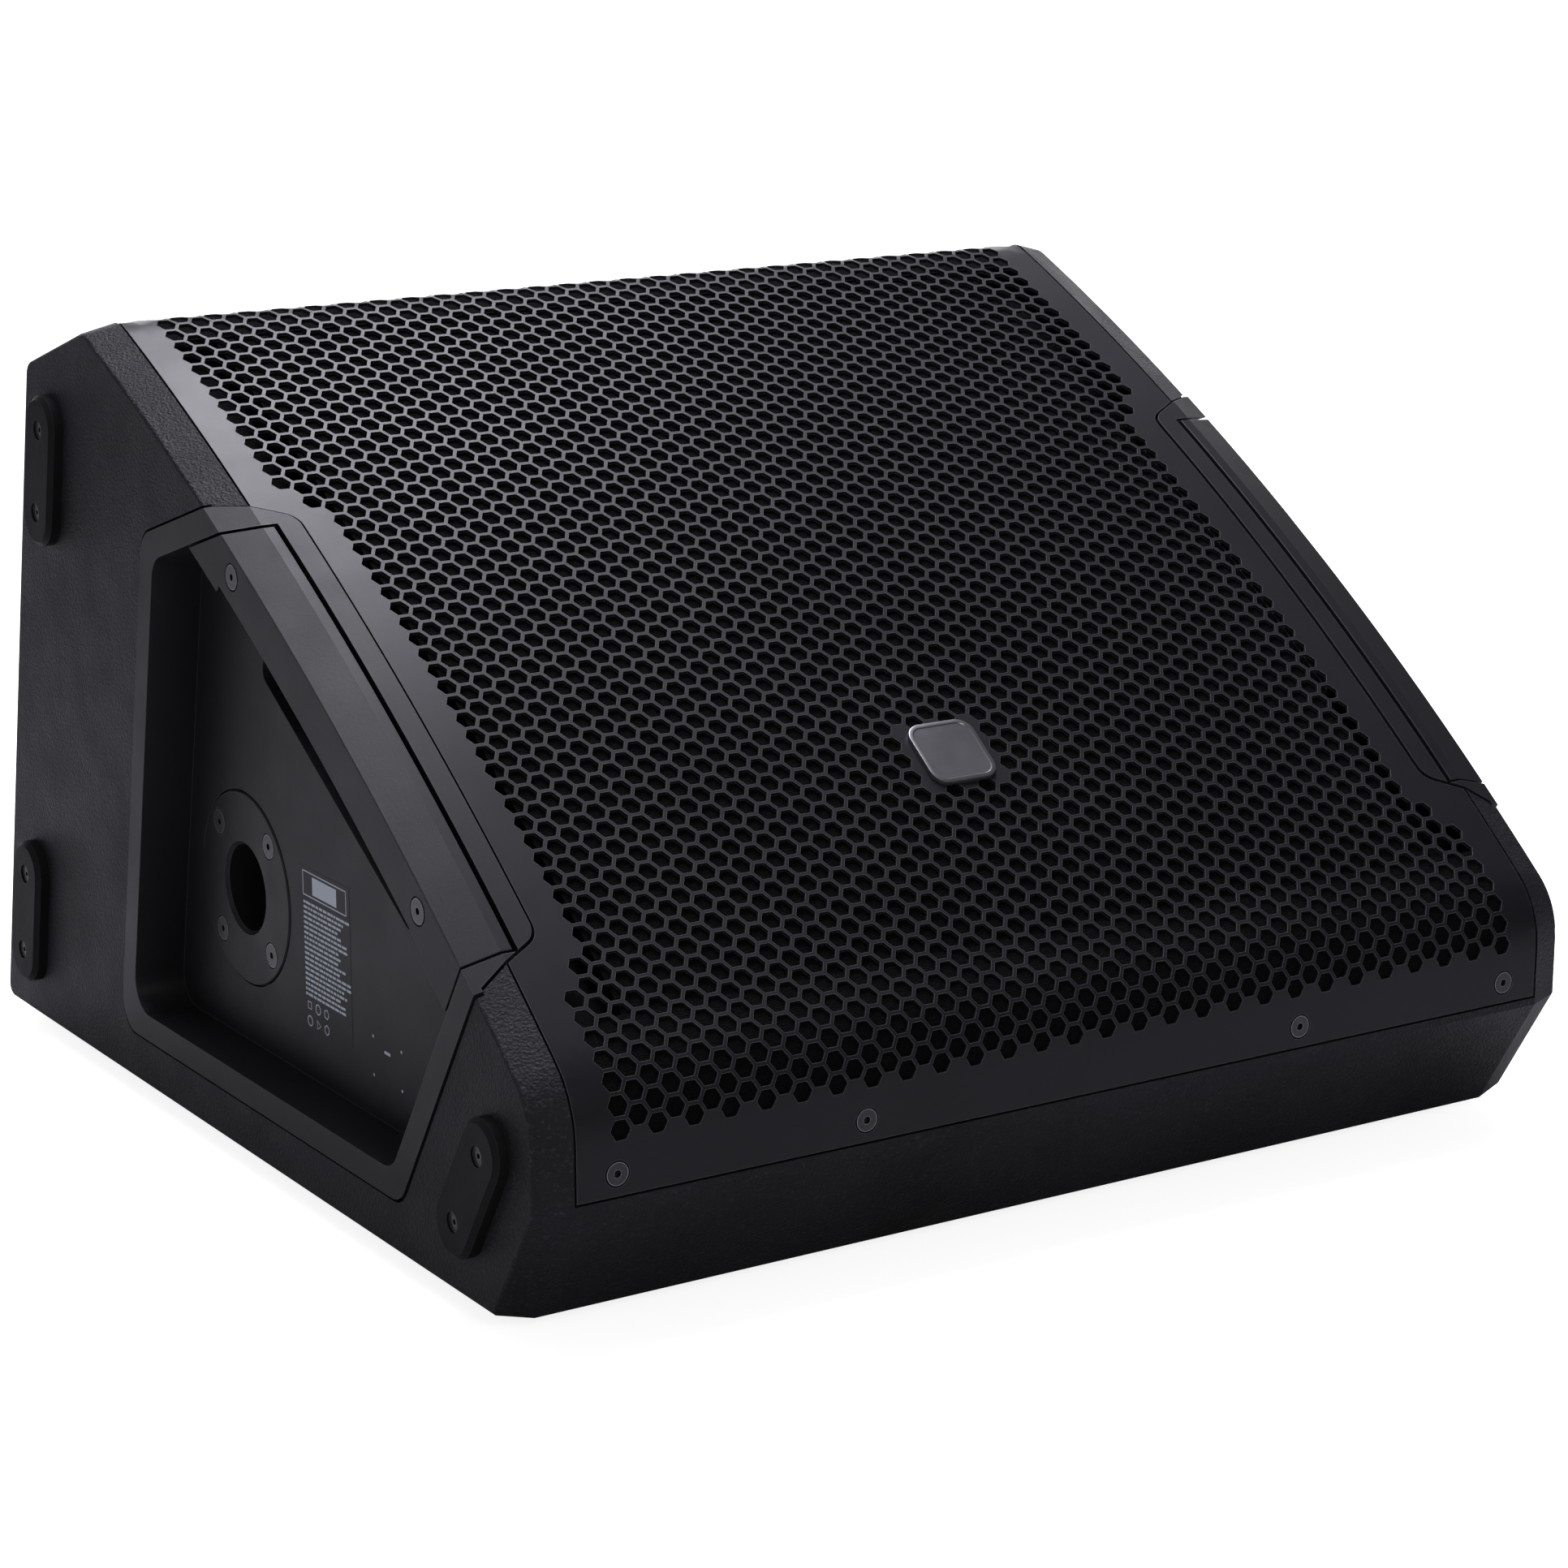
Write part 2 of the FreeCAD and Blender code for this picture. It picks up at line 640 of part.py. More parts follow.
def grip_bar():
    """Grip of the +X side: it follows the slope and the cheek bevel and thins out for the hand."""
    skin = roof_under(TRIM_PROUD).common(trim_prism(TRIM_FACE + CUP_GAP, BAR_X + CUP_GAP, CHEEK_X + WALL))
    ends = cabinet_slice(BAR_X, CHEEK_X + WALL, GRIP_END_DEPTH)
    ramp = GRIP_RAMP
    spots = [(GRIP_UP - ramp, 2 * GRIP_DEPTH), (GRIP_UP, 0.0),
             (GRIP_DOWN, 0.0), (GRIP_DOWN + ramp, 2 * GRIP_DEPTH)]
    middle = prism([on_slope(*spot) for spot in spots], BAR_X, CHEEK_X + WALL)
    waist = cabinet_slice(BAR_X, CHEEK_X + WALL, GRIP_DEPTH).common(middle)
    return without(skin, [ends, waist])


def slab(line, near, far, x_half, reach):
    """Board between two depths on the left of a side-view line, reaching both ways along it."""
    first = shifted(line, near)
    second = shifted(line, far)
    spots = [along(*first, -reach), along(*first, reach), along(*second, reach), along(*second, -reach)]
    return prism(spots, -x_half, x_half)


def cabinet_boards():
    """Plywood boards between the two cheeks, each cut to what it meets."""
    body = cabinet_slice(-SHOULDER_X, SHOULDER_X)
    sheet_space = grille_band(-GRILLE_T, GRILLE_T + FIT_GAP, SHOULDER_X, GRILLE_GAP)
    long = 2 * CABINET_D
    floor_slab = block(-long, long, -long, long, -WALL, WALL)
    back_slab = slab(BACK, -WALL, WALL, SHOULDER_X, long)
    ahead = block(-long, long, -long, CREST_Y - TOP_NOSE, -long, long)
    top_slab = slab(FACET, -WALL, WALL, SHOULDER_X, long).cut(ahead)
    rail_zone = block(-long, long, -long, -BUMPER_L, -long, RAIL_TOP_Z)
    hollow = cabinet_slice(-SHOULDER_X, SHOULDER_X, WALL)
    bottom = body.common(floor_slab)
    back = body.common(back_slab).cut(floor_slab)
    top = without(body.common(top_slab), [back_slab, sheet_space])
    rail = without(body.common(rail_zone), [hollow, floor_slab, sheet_space])
    face = slab(SLOPE, BAFFLE_BACKSET, BAFFLE_BACKSET + WALL, SHOULDER_X, long)
    inside = cabinet_slice(-SHOULDER_X, SHOULDER_X, GRILLE_T + FOAM_T + 2 * FOAM_BACKSET)
    baffle = without(face.common(inside), [top_slab, back_slab, rail, floor_slab])
    return bottom, back, top, rail, max(baffle.Solids, key=lambda solid: solid.Volume)


def cheek_board():
    """Plywood side of the +X cheek with the opening for its handle cup."""
    board = cheek_slice()
    rim = [edge for edge in board.Edges if edge.BoundBox.XMin > CHEEK_X - 0.01]
    return board.makeFillet(CHEEK_EDGE_R, rim)


def cleats():
    """Softwood strips under the ends of the baffle, from cheek to cheek."""
    depth = BAFFLE_BACKSET + WALL
    strips = []
    for down in CLEAT_DOWN:
        spots = [on_slope(down - CLEAT_W / 2, depth), on_slope(down + CLEAT_W / 2, depth),
                 on_slope(down + CLEAT_W / 2, depth + CLEAT_W), on_slope(down - CLEAT_W / 2, depth + CLEAT_W)]
        strips.append(prism(spots, -CLEAT_HALF, CLEAT_HALF))
    return strips


# ================================================================ hardware on the cheeks
def stadium(length, width, thickness, edge):
    """Upright pill-shaped pad about X, with a chamfered outer rim and its back at x = 0."""
    half = (length - width) / 2
    body = joined([rod(width / 2, 0, thickness, 0, -half), rod(width / 2, 0, thickness, 0, half),
                   block(0, thickness, -width / 2, width / 2, -half, half)])
    rim = [e for e in body.Edges if e.BoundBox.XMin > thickness - 0.01]
    return body.makeChamfer(edge, rim)


def bumper_places():
    """Centre and lean of each bumper on a cheek."""
    places = []
    for height in BUMPER_Z:
        line = shifted(BACK, BUMPER_TO_BACK)
        places.append((meet(line, ((0.0, height), (1.0, 0.0))), BACK_LEAN))
    line = shifted(CHAMFER, BUMPER_TO_CHAMFER)
    places.append((meet(line, ((0.0, BUMPER_FRONT_Z), (1.0, 0.0))), 90.0 - CHAMFER_ANGLE))
    return places


def side_bumpers():
    """Rubber pads of the +X cheek and their screws."""
    pads = []
    screws = []
    for (y, z), lean in bumper_places():
        tilt = Vector(1, 0, 0), lean
        for height in (-BUMPER_SCREWS / 2, BUMPER_SCREWS / 2):
            tip = Vector(BUMPER_T - 1.0, 0, height)
            screws.append(screw(tip, Vector(1, 0, 0), SCREW_M4_R, SCREW_M4_HEAD_R, BUMPER_T + 7.0))
            screws[-1].rotate(Vector(0, 0, 0), *tilt)
            screws[-1].translate(Vector(CHEEK_X, y, z))
        pad = stadium(BUMPER_L, BUMPER_W, BUMPER_T, BUMPER_EDGE)
        for height in (-BUMPER_SCREWS / 2, BUMPER_SCREWS / 2):
            pad = pad.cut(rod(SCREW_M4_HEAD_R + 0.2, BUMPER_T - 1.0, BUMPER_T, 0, height))
        pad.rotate(Vector(0, 0, 0), *tilt)
        pad.translate(Vector(CHEEK_X, y, z))
        pads.append(pad)
    return [without(pad, blanks(screws)) for pad in pads], screws


def bar_screws():
    """Screws through the ends of the +X grip bar into the cup's bosses, and the grooves round them."""
    face = CHEEK_X + TRIM_PROUD
    places = [below_curve(down, BAR_SCREW_DEPTH) for down in BAR_SCREWS]
    screws = [screw(Vector(face, *place), Vector(1, 0, 0), SCREW_M5_R, SCREW_M5_HEAD_R, face - BAR_X + CUP_T)
              for place in places]
    wells = [rod(SCREW_M5_HEAD_R + WELL_GAP, face - WELL_DEPTH, face + WALL, *place) for place in places]
    return screws, wells


def pole_socket():
    """Flanged steel tube of the +X side, and its four screws."""
    flange = rod(POLE_FLANGE_R, POLE_SEAT_X, POLE_FACE_X, POLE_Y, POLE_Z)
    flange = flange.makeChamfer(0.5, [e for e in flange.Edges if e.BoundBox.XMin > POLE_FACE_X - 0.01])
    tube = rod(POLE_TUBE_R, RECESS_X - POLE_DEPTH, POLE_SEAT_X, POLE_Y, POLE_Z)
    bore = rod(POLE_BORE_R, RECESS_X - POLE_DEPTH + POLE_FLANGE_T, POLE_FACE_X, POLE_Y, POLE_Z)
    lead_in = Part.makeCone(POLE_BORE_R, POLE_BORE_R + 1.5, 1.5,
                            Vector(POLE_FACE_X - 1.5, POLE_Y, POLE_Z), Vector(1, 0, 0))
    screws = []
    wells = []
    for quarter in range(4):
        dy, dz = unit(45.0 + 90.0 * quarter)
        place = (POLE_Y + dy * POLE_PCD / 2, POLE_Z + dz * POLE_PCD / 2)
        screws.append(screw(Vector(POLE_FACE_X, *place), Vector(1, 0, 0), SCREW_M5_R, SCREW_M5_HEAD_R,
                            POLE_FLANGE_T + 8.0))
        wells.append(rod(SCREW_M5_HEAD_R + WELL_GAP, POLE_FACE_X - WELL_DEPTH, POLE_FACE_X, *place))
    return without(joined([flange, tube]), [bore, lead_in] + wells + blanks(screws)), screws


def rating_plate():
    """Thin plate on the floor of the recess, beside the pole socket."""
    corners = [(PLATE_Y - PLATE_W / 2, PLATE_Z - PLATE_H / 2), (PLATE_Y + PLATE_W / 2, PLATE_Z - PLATE_H / 2),
               (PLATE_Y + PLATE_W / 2, PLATE_Z + PLATE_H / 2), (PLATE_Y - PLATE_W / 2, PLATE_Z + PLATE_H / 2)]
    return prism(corners, RECESS_X, RECESS_X + PLATE_T, 1.0)


def feet():
    """Rubber feet below the bottom board, and their screws."""
    pads = []
    screws = []
    front = FRONT_Y + FOOT_INSET
    rear = REAR_Y - FOOT_INSET
    for x in (-SHOULDER_X + FOOT_INSET, SHOULDER_X - FOOT_INSET):
        for y in (front + CHAMFER_TOP_Z / 2, rear):
            pad = Part.makeCone(FOOT_R - 1.5, FOOT_R, FOOT_H, Vector(x, y, -FOOT_H))
            tip = Vector(x, y, -FOOT_H + 2.0)
            screws.append(screw(tip, Vector(0, 0, -1), SCREW_M4_R, SCREW_M4_HEAD_R, FOOT_H + 8.0))
            well = Part.makeCylinder(SCREW_M4_HEAD_R + 1.0, 2.0, Vector(x, y, -FOOT_H))
            pads.append(without(pad, [well] + blanks(screws[-1:])))
    return pads, screws


def grille_parts():
    """Bent grille sheet, foam behind it, badge on it and the screws through its lip."""
    notches = [pad_prism(CUP_GAP), mirrored(pad_prism(CUP_GAP))]
    sheet = without(grille_band(0.0, GRILLE_T, SHOULDER_X - GRILLE_GAP), notches)
    near = GRILLE_T + FOAM_BACKSET
    foam = without(grille_band(near, near + FOAM_T, FOAM_HALF_W), notches)
    foam = foam.common(block(-FOAM_HALF_W, FOAM_HALF_W, FRONT_Y, CREST_Y - TOP_NOSE - FIT_GAP,
                             RAIL_TOP_Z + FIT_GAP, CABINET_H))
    half = BADGE_SIZE / 2
    corners = [(-half, BADGE_DOWN - half), (half, BADGE_DOWN - half),
               (half, BADGE_DOWN + half), (-half, BADGE_DOWN + half)]
    badge = slope_prism(corners, [BADGE_R] * 4, -WALL, WALL)
    badge = badge.common(grille_band(-BADGE_T, 0.0, BADGE_SIZE))
    screws = []
    for x in GRILLE_SCREW_X:
        for side in (-x, x):
            tip = Vector(side, FRONT_Y, GRILLE_SCREW_Z)
            screws.append(screw(tip, Vector(0, -1, 0), SCREW_M5_R, SCREW_M5_HEAD_R - 0.5, WALL - 3.0))
    return without(sheet, blanks(screws)), foam, badge, screws


# ================================================================ coaxial loudspeaker
def ring(inner, outer, low, high):
    """Washer about +Z."""
    return turned([(inner, low), (outer, low), (outer, high), (inner, high)])


def loudspeaker():
    """Pieces of the coaxial driver, drawn about +Z with z = 0 on the front of the baffle."""
    rim_top = GASKET_T + RIM_T
    floor = BASKET_FLOOR
    throat = DRIVER_HOLE_R - RIM_LAND
    neck = BASKET_NECK_R - BASKET_T
    basket = turned([(throat, rim_top), (DRIVER_R, rim_top), (DRIVER_R, GASKET_T),
                     (throat + BASKET_T, GASKET_T), (BASKET_NECK_R, floor), (BASKET_FOOT_R, floor),
                     (BASKET_FOOT_R, floor + BASKET_T), (neck, floor + BASKET_T), (throat, GASKET_T)])
    windows = []
    for spoke in range(BASKET_SPOKES):
        corner = Vector(BASKET_FOOT_R, -WINDOW_W / 2, floor + WINDOW_LOW)
        window = Part.makeBox(DRIVER_R, WINDOW_W, WINDOW_TOP, corner)
        window.rotate(Vector(0, 0, 0), Vector(0, 0, 1), 360.0 * spoke / BASKET_SPOKES)
        windows.append(window)
    top_plate_low = floor - TOP_PLATE_T
    magnet_low = top_plate_low - MAGNET_T
    iron_low = magnet_low - BACK_PLATE_T
    plate = ring(THROAT_R, IRON_R, iron_low, magnet_low)
    yoke = joined([plate, ring(THROAT_R, POLE_PIECE_R, iron_low, floor)])
    hf_low = iron_low - HF_BODY_L
    dome_r = HF_BODY_R - 3 * HF_WALL
    hf_body = turned([(0, hf_low), (HF_BODY_R, hf_low), (HF_BODY_R, iron_low), (THROAT_R, iron_low),
                      (THROAT_R, iron_low - HF_WALL), (dome_r, iron_low - HF_WALL),
                      (dome_r, hf_low + HF_CHAMBER), (0, hf_low + HF_CHAMBER)])
    dome_low = hf_low + HF_CHAMBER + HF_WALL
    dome_top = dome_low + DOME_H
    dome = turned([(dome_r - DOME_T, dome_low), (dome_r - DOME_T, dome_low + DOME_T),
                   (DOME_RIM, dome_low + DOME_T), (DOME_RIM / 2, dome_top - 2 * DOME_T),
                   (0, dome_top), (0, dome_top - DOME_T),
                   (DOME_RIM / 2 - DOME_T, dome_top - 3 * DOME_T), (DOME_RIM - DOME_T, dome_low)])
    horn = turned([(THROAT_R, floor), (HORN_STEM_R - BASKET_T, floor), (HORN_STEM_R, floor + BASKET_T),
                   (HORN_STEM_R, HORN_FLARE), (HORN_KNEE_R, HORN_KNEE), (HORN_MOUTH_R, HORN_MOUTH),
                   (HORN_MOUTH_R - HORN_T, HORN_MOUTH), (HORN_KNEE_R - HORN_T, HORN_KNEE + HORN_T),
                   (HORN_STEM_R - HORN_T, HORN_FLARE + HORN_T)])
    cone = turned([(NECK_R, CONE_NECK), (CONE_R, CONE_RIM - CONE_T), (CONE_R, CONE_RIM),
                   (NECK_R, CONE_NECK + 2 * CONE_T)])
    coil = ring(COIL_R - COIL_T, NECK_R, CONE_NECK - COIL_COLLAR, CONE_NECK)
    coil = joined([coil, ring(COIL_R - COIL_T, COIL_R, COIL_END, CONE_NECK)])
    roll = (throat - CONE_R) / 2
    mid_r = CONE_R + roll
    mid_z = CONE_RIM - CONE_T
    turns = [unit(180.0 - 22.5 * step) for step in range(9)]
    over = [(mid_r + dr * roll, mid_z + dz * SURROUND_RISE) for dr, dz in turns]
    thin = (roll - CONE_T, SURROUND_RISE - CONE_T)
    under = [(mid_r + dr * thin[0], mid_z + dz * thin[1]) for dr, dz in reversed(turns)]
    surround = turned(over + under)
    spider_z = floor + SPIDER_UP
    wall_slope = (throat - neck) / (GASKET_T - floor - BASKET_T)
    spider_in = NECK_R + 0.2
    spider_out = neck + (spider_z - SPIDER_WAVE - SPIDER_T - floor - BASKET_T) * wall_slope
    waves = []
    for fold in range(SPIDER_FOLDS + 1):
        radius = spider_in + (spider_out - spider_in) * fold / SPIDER_FOLDS
        waves.append((radius, spider_z + (SPIDER_WAVE if fold % 2 else -SPIDER_WAVE)))
    spider = turned(waves + [(radius, height + SPIDER_T) for radius, height in reversed(waves)])
    screws = []
    for number in range(DRIVER_SCREWS):
        dx, dy = unit(22.5 + 360.0 * number / DRIVER_SCREWS)
        tip = Vector(dx * DRIVER_SCREW_R, dy * DRIVER_SCREW_R, rim_top)
        screws.append(screw(tip, Vector(0, 0, 1), SCREW_M5_R, SCREW_M5_HEAD_R, rim_top + WALL - RIM_LAND))
    pieces = {
        "woofer_gasket": without(ring(DRIVER_HOLE_R, DRIVER_R, 0.0, GASKET_T), blanks(screws)),
        "woofer_basket": without(basket, windows + blanks(screws)),
        "woofer_top_plate": ring(NECK_R + COIL_CLEARANCE, IRON_R, top_plate_low, floor),
        "woofer_magnet": ring(MAGNET_BORE_R, MAGNET_R, magnet_low, top_plate_low),
        "woofer_yoke": yoke,
        "woofer_cone": cone,
        "voice_coil": coil,
        "cone_surround": surround,
        "cone_spider": spider,
        "hf_horn": horn,
        "hf_driver_body": hf_body,
        "hf_diaphragm": dome,
        "woofer_screws": finished(screws),
    }
    placed = {name: on_driver_axis(shape) for name, shape in pieces.items()}
    return placed, [on_driver_axis(blank) for blank in blanks(screws)]


def port_tubes():
    """Two flanged reflex tubes in the upper corners of the baffle."""
    pipe = ring(PORT_R, PORT_R + PORT_WALL, -PORT_L, 0.0)
    tube = joined([pipe, ring(PORT_R, PORT_FLANGE_R, 0.0, PORT_WALL)])
    tubes = []
    holes = []
    for x in (-PORT_X, PORT_X):
        for shape, kept in ((tube, tubes), (ring(0.0, PORT_R + PORT_WALL, -PORT_L, 0.0), holes)):
            placed = on_driver_axis(shape)
            placed.translate(slope_point(x, PORT_UP) - slope_point(0.0, 0.0))
            kept.append(placed)
    return tubes, holes


# ================================================================ amplifier on the +X side
def panel_corners(inset):
    """Corners of the amplifier panel on the recess floor."""
    edge = TRIM_FACE + PANEL_MARGIN + inset
    back = shifted(BACK, TRIM_TO_BACK + edge)
    base = ((0.0, TRIM_BASE_Z + edge), (1.0, 0.0))
    front = shifted(CHAMFER, TRIM_TO_CHAMFER + edge)
    upper = shifted(SLOPE, POCKET_REACH + PANEL_MARGIN + inset)
    return [meet(base, front), meet(base, back), meet(back, upper), meet(upper, front)]


def framed_box(y, z, width, height, x0, x1):
    """Box along X centred on a place of the panel."""
    return block(x0, x1, y - width / 2, y + width / 2, z - height / 2, z + height / 2)


def socket_shell(y, depth):
    """Round panel socket with a square flange and a blind mouth."""
    front = PANEL_X + SOCKET_T
    flange = framed_box(y, ROW_Z, SOCKET_W, SOCKET_H, PANEL_X, front)
    flange = flange.makeFillet(2.0, [e for e in flange.Edges if e.BoundBox.XLength > SOCKET_T - 0.01])
    body = rod(SOCKET_BODY_R, PANEL_X - SOCKET_BODY_L, PANEL_X, y, ROW_Z)
    return joined([flange, body]).cut(rod(SOCKET_MOUTH_R, front - depth, front, y, ROW_Z))


def latch_slot(y, grow):
    """Space of a latch tab above the mouth of an input socket, with room for its travel."""
    low = PANEL_X + SOCKET_T + LATCH_PROUD - LATCH_L - (LATCH_TRAVEL + grow if grow else 0.0)
    high = PANEL_X + SOCKET_T + (WALL if grow else LATCH_PROUD)
    return framed_box(y, ROW_Z + LATCH_UP, LATCH_W + 2 * grow, LATCH_H + 2 * grow, low, high)


def input_sockets():
    """Two input sockets with their latch tabs, one plain link socket and its pins."""
    first, second, link = [ROW_Y + ROW_PITCH * place for place in range(3)]
    inputs = [socket_shell(y, SOCKET_BODY_L - 3.0).cut(latch_slot(y, MOTION_GAP)) for y in (first, second)]
    output = socket_shell(link, LINK_DEPTH)
    pins = []
    for turn in (90.0, 210.0, 330.0):
        dy, dz = unit(turn)
        low = PANEL_X + SOCKET_T - LINK_DEPTH
        place = (link + dy * PIN_CIRCLE, ROW_Z + dz * PIN_CIRCLE)
        pins.append(rod(PIN_R, low, low + 2 * LINK_DEPTH / 3, *place))
    latches = [latch_slot(y, 0.0) for y in (first, second)]
    screws = []
    for y in (first, second, link):
        for dy, dz in SOCKET_SCREWS:
            screws.append(screw(Vector(PANEL_X + SOCKET_T, y + dy, ROW_Z + dz), Vector(1, 0, 0),
                                SCREW_M3_R, SCREW_M3_HEAD_R, SHORT_SCREW))
    return inputs, output, pins, latches, screws


def gain_knob(y):
    """Round knob with a pointer groove, on a shaft that runs through the panel."""
    front = PANEL_X + KNOB_L
    foot = Vector(PANEL_X + 1.0, y, CONTROL_Z)
    knob = Part.makeCone(KNOB_R, KNOB_R - 0.7, KNOB_L - 1.0, foot, Vector(1, 0, 0))
    groove = block(front - 1.0, front + 1.0, y - 0.6, y + 0.6, CONTROL_Z + 1.5, CONTROL_Z + KNOB_R + 1)
    return joined([knob.cut(groove), rod(SHAFT_R, RECESS_X - 8.0, PANEL_X + 1.0, y, CONTROL_Z)])


def rocker():
    """Rocker of the mains switch, resting with its lower half pressed in."""
    half = ROCKER_H / 2
    lift = half * math.tan(math.radians(ROCKER_TILT))
    front = PANEL_X + ROCKER_FRAME
    low = front - 2 * ROCKER_FRAME
    spots = [(-half, low), (half, low), (half, front + lift), (0.0, front), (-half, front + lift)]
    points = [Vector(x, INLET_Y - ROCKER_W / 2, CONTROL_Z + z) for z, x in spots]
    body = Part.Face(Part.makePolygon(points + points[:1])).extrude(Vector(0, ROCKER_W, 0))
    body.rotate(Vector(PANEL_X, INLET_Y, CONTROL_Z), Vector(0, 1, 0), ROCKER_TILT)
    return body


def amplifier():
    """Panel with its controls, and the electronics behind it."""
    inputs, output, pins, latches, socket_screws = input_sockets()
    knobs = [gain_knob(y) for y in KNOB_Y]
    front = PANEL_X + SOCKET_T
    shell_w = INLET_MOUTH_W + 2 * INLET_WALL
    shell_h = INLET_MOUTH_H + 2 * INLET_WALL
    inlet = joined([framed_box(INLET_Y, ROW_Z, INLET_W, INLET_H, PANEL_X, front),
                    framed_box(INLET_Y, ROW_Z, shell_w, shell_h, front - INLET_DEEP - INLET_WALL, PANEL_X)])
    inlet = inlet.cut(framed_box(INLET_Y, ROW_Z, INLET_MOUTH_W, INLET_MOUTH_H, front - INLET_DEEP, front))
    blades = [framed_box(INLET_Y + dy, ROW_Z + dz, BLADE_W, BLADE_H, front - INLET_DEEP, front - BLADE_H)
              for dy, dz in BLADES]
    inlet_screws = [screw(Vector(front, INLET_Y + dy, ROW_Z), Vector(1, 0, 0), SCREW_M3_R, SCREW_M3_HEAD_R,
                          SHORT_SCREW) for dy in INLET_SCREWS]
    switch_w = ROCKER_W + 2 * MOTION_GAP
    switch_h = ROCKER_H + 2 * MOTION_GAP + 1.6
    switch = framed_box(INLET_Y, CONTROL_Z, switch_w + 2 * ROCKER_FRAME, switch_h + 2 * ROCKER_FRAME,
                        PANEL_X, PANEL_X + ROCKER_FRAME - 1.0)
    switch_box = framed_box(INLET_Y, CONTROL_Z, switch_w + 2.0, switch_h + 2.0,
                            PANEL_X - ROCKER_DEEP, PANEL_X)
    switch = joined([switch, switch_box]).cut(framed_box(
        INLET_Y, CONTROL_Z, switch_w, switch_h, PANEL_X - ROCKER_DEEP + 2.0, PANEL_X + WALL))
    button_face = PANEL_X + BUTTON_PROUD
    button = rod(BUTTON_R, button_face - BUTTON_L, button_face, BUTTON_Y, CONTROL_Z)
    button_seat = button_face - BUTTON_L - BUTTON_TRAVEL - MOTION_GAP
    button_switch = framed_box(BUTTON_Y, CONTROL_Z, BUTTON_SWITCH_W, BUTTON_SWITCH_W,
                               button_seat - BUTTON_SWITCH_L, button_seat)
    lights = [rod(LIGHT_R, RECESS_X - 2.0, PANEL_X + 0.8, y, LIGHT_Z) for y in LIGHT_Y]
    pots = [framed_box(y, CONTROL_Z, POT_W, POT_W, RECESS_X - POT_DEEP, RECESS_X).cut(
        rod(SHAFT_R + SHAFT_FIT, RECESS_X - POT_DEEP + 0.5, RECESS_X, y, CONTROL_Z)) for y in KNOB_Y]
    panel_screws = [screw(Vector(PANEL_X, *spot), Vector(1, 0, 0), SCREW_M4_R, SCREW_M4_HEAD_R - 0.5,
                          PANEL_SCREW) for spot in panel_corners(PANEL_LIP / 2 + 0.5)]
    board_back = BOARD_X + BOARD_T
    standoffs = [rod(STANDOFF_R, board_back, RECESS_X, *spot) for spot in panel_corners(PANEL_LIP + 9.0)]
    panel = prism(panel_corners(0.0), RECESS_X, PANEL_X, 4.0)
    holes = [rod(SOCKET_BODY_R, RECESS_X, PANEL_X, ROW_Y + ROW_PITCH * place, ROW_Z) for place in range(3)]
    holes += [latch_slot(y, MOTION_GAP) for y in (ROW_Y, ROW_Y + ROW_PITCH)]
    holes += [rod(SHAFT_R + SHAFT_FIT, RECESS_X, PANEL_X, y, CONTROL_Z) for y in KNOB_Y]
    holes += [rod(BUTTON_R + MOTION_GAP, RECESS_X, PANEL_X, BUTTON_Y, CONTROL_Z), switch_box]
    holes += [framed_box(INLET_Y, ROW_Z, shell_w, shell_h, RECESS_X, PANEL_X)]
    panel = without(panel, holes + lights + blanks(socket_screws + inlet_screws + panel_screws))
    board = prism(panel_corners(PANEL_LIP + 4.0), BOARD_X, board_back)
    toroid = rod(TOROID_R, BOARD_X - TOROID_T, BOARD_X, *TOROID_YZ).cut(
        rod(TOROID_BORE_R, BOARD_X - TOROID_T, BOARD_X, *TOROID_YZ))
    fin_back = BOARD_X - SINK_BASE
    base = framed_box(*SINK_YZ, SINK_W, SINK_H, fin_back, BOARD_X)
    fin_step = (SINK_W - 2 * FIN_T - 2.0) / (FINS - 1)
    first_fin = SINK_YZ[0] - fin_step * (FINS - 1) / 2
    fins = [framed_box(first_fin + fin_step * number, SINK_YZ[1], FIN_T, SINK_H, fin_back - FIN_L, fin_back)
            for number in range(FINS)]
    caps = [rod(CAP_R, BOARD_X - CAP_L, BOARD_X, CAP_Y, z) for z in CAP_Z]
    nodes = {
        "amp_panel": panel,
        "amp_panel_screws": finished(panel_screws + socket_screws + inlet_screws),
        "input_sockets": group([without(shell, blanks(socket_screws)) for shell in inputs]),
        "link_socket": without(output, blanks(socket_screws)),
        "connector_contacts": group(pins + blades),
        "latch_tab_1": latches[0],
        "latch_tab_2": latches[1],
        "gain_knob_1": knobs[0],
        "gain_knob_2": knobs[1],
        "gain_controls": group(pots),
        "mode_button": button,
        "mode_switch": button_switch,
        "status_lights": group(lights),
        "mains_inlet": without(inlet, blanks(inlet_screws)),
        "power_switch_frame": switch,
        "power_rocker": rocker(),
        "circuit_board": board,
        "board_standoffs": group(standoffs),
        "mains_transformer": toroid,
        "heat_sink": joined([base] + fins),
        "capacitors": group(caps),
    }
    return nodes, blanks(panel_screws)


def damping_pads():
    """Wadding against the back board and on the bottom board."""
    back = slab(BACK, WALL, WALL + 20.0, CABINET_W / 4, 2 * CABINET_H)
    back = back.common(block(-CABINET_W, CABINET_W, 0.0, CABINET_D, 4 * WALL, CABINET_H - 6 * WALL))
    floor = block(-CABINET_W / 4, CABINET_W / 4, 4 * WALL, REAR_Y - 4 * WALL, WALL, WALL + 12.0)
    return group([back, floor])


